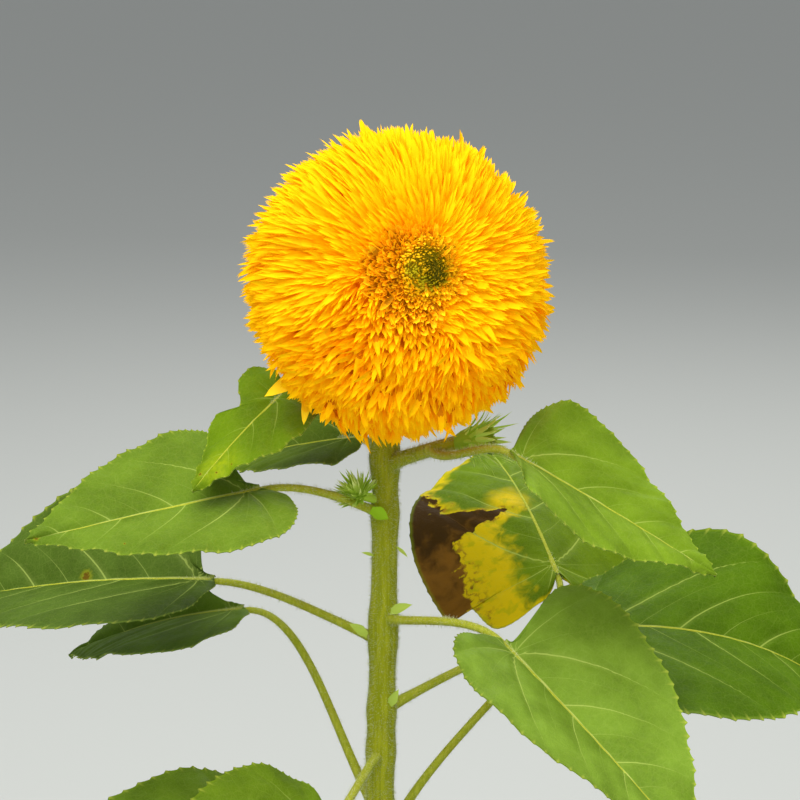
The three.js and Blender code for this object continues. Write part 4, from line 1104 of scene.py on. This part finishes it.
chance = np.random.default_rng(51)
serial, around, out = spiral(CLOSED_BRACTS)
share = (serial + 0.5) / CLOSED_BRACTS
way = dome(1, CLOSED_TURNS[0] + CLOSED_TURNS[1] * np.sqrt(share), around)
start = way * CLOSED_ROOT + upward * CLOSED_ROOT
length = CLOSED_LENGTH * lerp(1.0, 0.7, share) * chance.uniform(0.7, 1.05, CLOSED_BRACTS)
end = way * length[:, None] + chance.normal(0, 0.7, (CLOSED_BRACTS, 3))
bend = way * (0.5 * length)[:, None] + out * (1.2 + 1.6 * share)[:, None]
closed = bud_straps(start, bend, end, out, chance, CLOSED_WIDTHS, -0.3, NARROW_END, 0.08)
closed_tones = tones(chance.integers(0, 3, CLOSED_BRACTS), OUTER_HALF_PALE, 3)
stalk_line = np.linspace(stem_centre(CLOSED_FOOT[2] - 3), CLOSED_FOOT + 2.5 * CLOSED_AXIS, CLOSED_STALK_ROWS)
stalk_shape = tube(stalk_line, np.full(CLOSED_STALK_ROWS, CLOSED_STALK), CLOSED_STALK_SIDES)
closed_tones = np.concatenate([closed_tones, np.full(len(stalk_shape[1]), 1)])
closed = joined([moved(closed, CLOSED_FOOT, turned_to(CLOSED_AXIS)), stalk_shape])
add_piece("closed_bud", closed, young_bracts, ["axil_bud"], closed_tones)

start, end, width, tone = (np.array(values, float) for values in zip(*LEAFLETS))
way = unit(end - start)
face = unit(LEAFLET_FACE - way * (way @ LEAFLET_FACE)[:, None])
leaflets = straps(start, (start + end) / 2 + face * 1.2, end, np.cross(face, way), face, width, 0.3,
                  LEAFLET_END, 0.1)
add_piece("leaflets", leaflets, young_bracts, [f"leaflet_{i + 1}" for i in range(LEAFLET_SOLIDS)],
          np.repeat(tone, STRAP_FACES))

# Bristles
# Stiff white hairs stand out all round the stem, the stalks and the branch. Each is a thin
# three-sided cone, and those that would touch the ground are left out.
HAIR_WIDTH, HAIR_LENGTHS, HAIR_CORNERS = 0.075, (0.7, 2.1), (0, 2.094, 4.189)
STEM_HAIRS, STALK_HAIRS, BRANCH_HAIRS = 28000, 900, 1500
ROOT_CLEAR, TIP_CLEAR = 0.5, 0.2


def hairs_on(path, radius, count, seed):
    """Roots and tips of hairs that stand out of a limb."""
    chance = np.random.default_rng(seed)
    numbers = np.arange(len(path))
    steps = np.linalg.norm(np.diff(path, axis=0), axis=1)
    place = np.interp(chance.random(count), np.concatenate([[0], np.cumsum(steps)]) / steps.sum(), numbers)
    middle = np.stack([np.interp(place, numbers, path[:, k]) for k in range(3)], -1)
    tangent = unit(np.gradient(path, axis=0))[place.astype(int)]
    out = unit(np.cross(tangent, chance.normal(0, 1, (count, 3))))
    roots = middle + out * (np.interp(place, numbers, radius) - 0.1)[:, None]
    way = unit(out + tangent * chance.normal(0.1, 0.3, count)[:, None] + chance.normal(0, 0.15, (count, 3)))
    return roots, roots + way * chance.uniform(*HAIR_LENGTHS, count)[:, None]


def cones(roots, tips):
    way = unit(tips - roots)
    spare = unit(np.cross(way, np.array([0.31, 0.52, 0.8])))
    other = np.cross(way, spare)
    feet = [roots + HAIR_WIDTH * (spare * math.cos(a) + other * math.sin(a)) for a in HAIR_CORNERS]
    points = np.stack([*feet, tips], 1).reshape(-1, 3)
    faces = np.array([(0, 1, 3), (1, 2, 3), (2, 0, 3)])
    return points, (faces[None] + (np.arange(len(roots)) * 4)[:, None, None]).reshape(-1, 3)


hair_skin = plain("hair_skin", (216, 222, 168), 0.5, 0.1)
roots, tips = hairs_on(stem_path, stem_radius(heights) + swelling, STEM_HAIRS, 61)
clear = (roots[:, 2] > ROOT_CLEAR) & (tips[:, 2] > TIP_CLEAR)
add_piece("stem_hairs", cones(roots[clear], tips[clear]), [hair_skin])
stalk_hairs = [hairs_on(path[:STALK_ROWS + 6], radius[:STALK_ROWS + 6], STALK_HAIRS, 70 + i)
               for i, (path, radius) in enumerate(stalks.values())]
stalk_hairs.append(hairs_on(branch_path, branch_radius, BRANCH_HAIRS, 69))
add_piece("stalk_hairs", joined([cones(*pair) for pair in stalk_hairs]), [hair_skin])

# Floor, light and camera
# A plain pale floor, soft light from above and in front, and a camera a little above the head. Lamps
# are placed in metres: their place, their size and their power.
CAMERA_TARGET, CAMERA_RISE, CAMERA_DISTANCE, CAMERA_LENS, CAMERA_SENSOR = (13.5, 0, 455), 12, 1155, 120, 36
FLOOR_HALF, FLOOR_PALE = 30, (198, 200, 194)
SKY_COLOUR, SKY_STRENGTH = (0.93, 0.96, 1.0, 1), 0.42
LAMPS = {"key": ((-0.4, -0.9, 2.4), 2.4, 68), "front": ((1.0, -2.2, 1.4), 1.8, 8),
         "back": ((0.4, 1.9, 1.9), 1.4, 16)}
LAMP_TARGET = Vector((0.01, 0, 0.42))

floor_mesh = bpy.data.meshes.new("floor")
corners = [(FLOOR_HALF * x, FLOOR_HALF * y, 0) for x, y in ((-1, -1), (1, -1), (1, 1), (-1, 1))]
floor_mesh.from_pydata(corners, [], [(0, 1, 2, 3)])
floor = bpy.data.objects.new("floor", floor_mesh)
bpy.context.scene.collection.objects.link(floor)
floor_mesh.materials.append(plain("floor_paint", FLOOR_PALE, 0.85, 0.2))

world = bpy.data.worlds.new("studio")
bpy.context.scene.world = world
world.use_nodes = True
sky = world.node_tree.nodes["Background"]
sky.inputs["Color"].default_value = SKY_COLOUR
sky.inputs["Strength"].default_value = SKY_STRENGTH

for name, (place, size, power) in LAMPS.items():
    light = bpy.data.lights.new(name, "AREA")
    light.shape, light.size, light.energy = "DISK", size, power
    lamp = bpy.data.objects.new(name, light)
    lamp.location = place
    lamp.rotation_mode = "QUATERNION"
    lamp.rotation_quaternion = (LAMP_TARGET - Vector(place)).to_track_quat("-Z", "Y")
    bpy.context.scene.collection.objects.link(lamp)

camera = bpy.data.objects.new("camera", bpy.data.cameras.new("camera"))
camera.data.lens, camera.data.sensor_width = CAMERA_LENS, CAMERA_SENSOR
rise = math.radians(CAMERA_RISE)
back = Vector((0, -math.cos(rise), math.sin(rise)))
camera.location = (Vector(CAMERA_TARGET) + back * CAMERA_DISTANCE) * 0.001
camera.rotation_mode = "QUATERNION"
camera.rotation_quaternion = (-back).to_track_quat("-Z", "Y")
camera.data.clip_start, camera.data.clip_end = 0.05, 100
bpy.context.scene.collection.objects.link(camera)
bpy.context.scene.camera = camera
bpy.context.scene.view_settings.view_transform = "Standard"
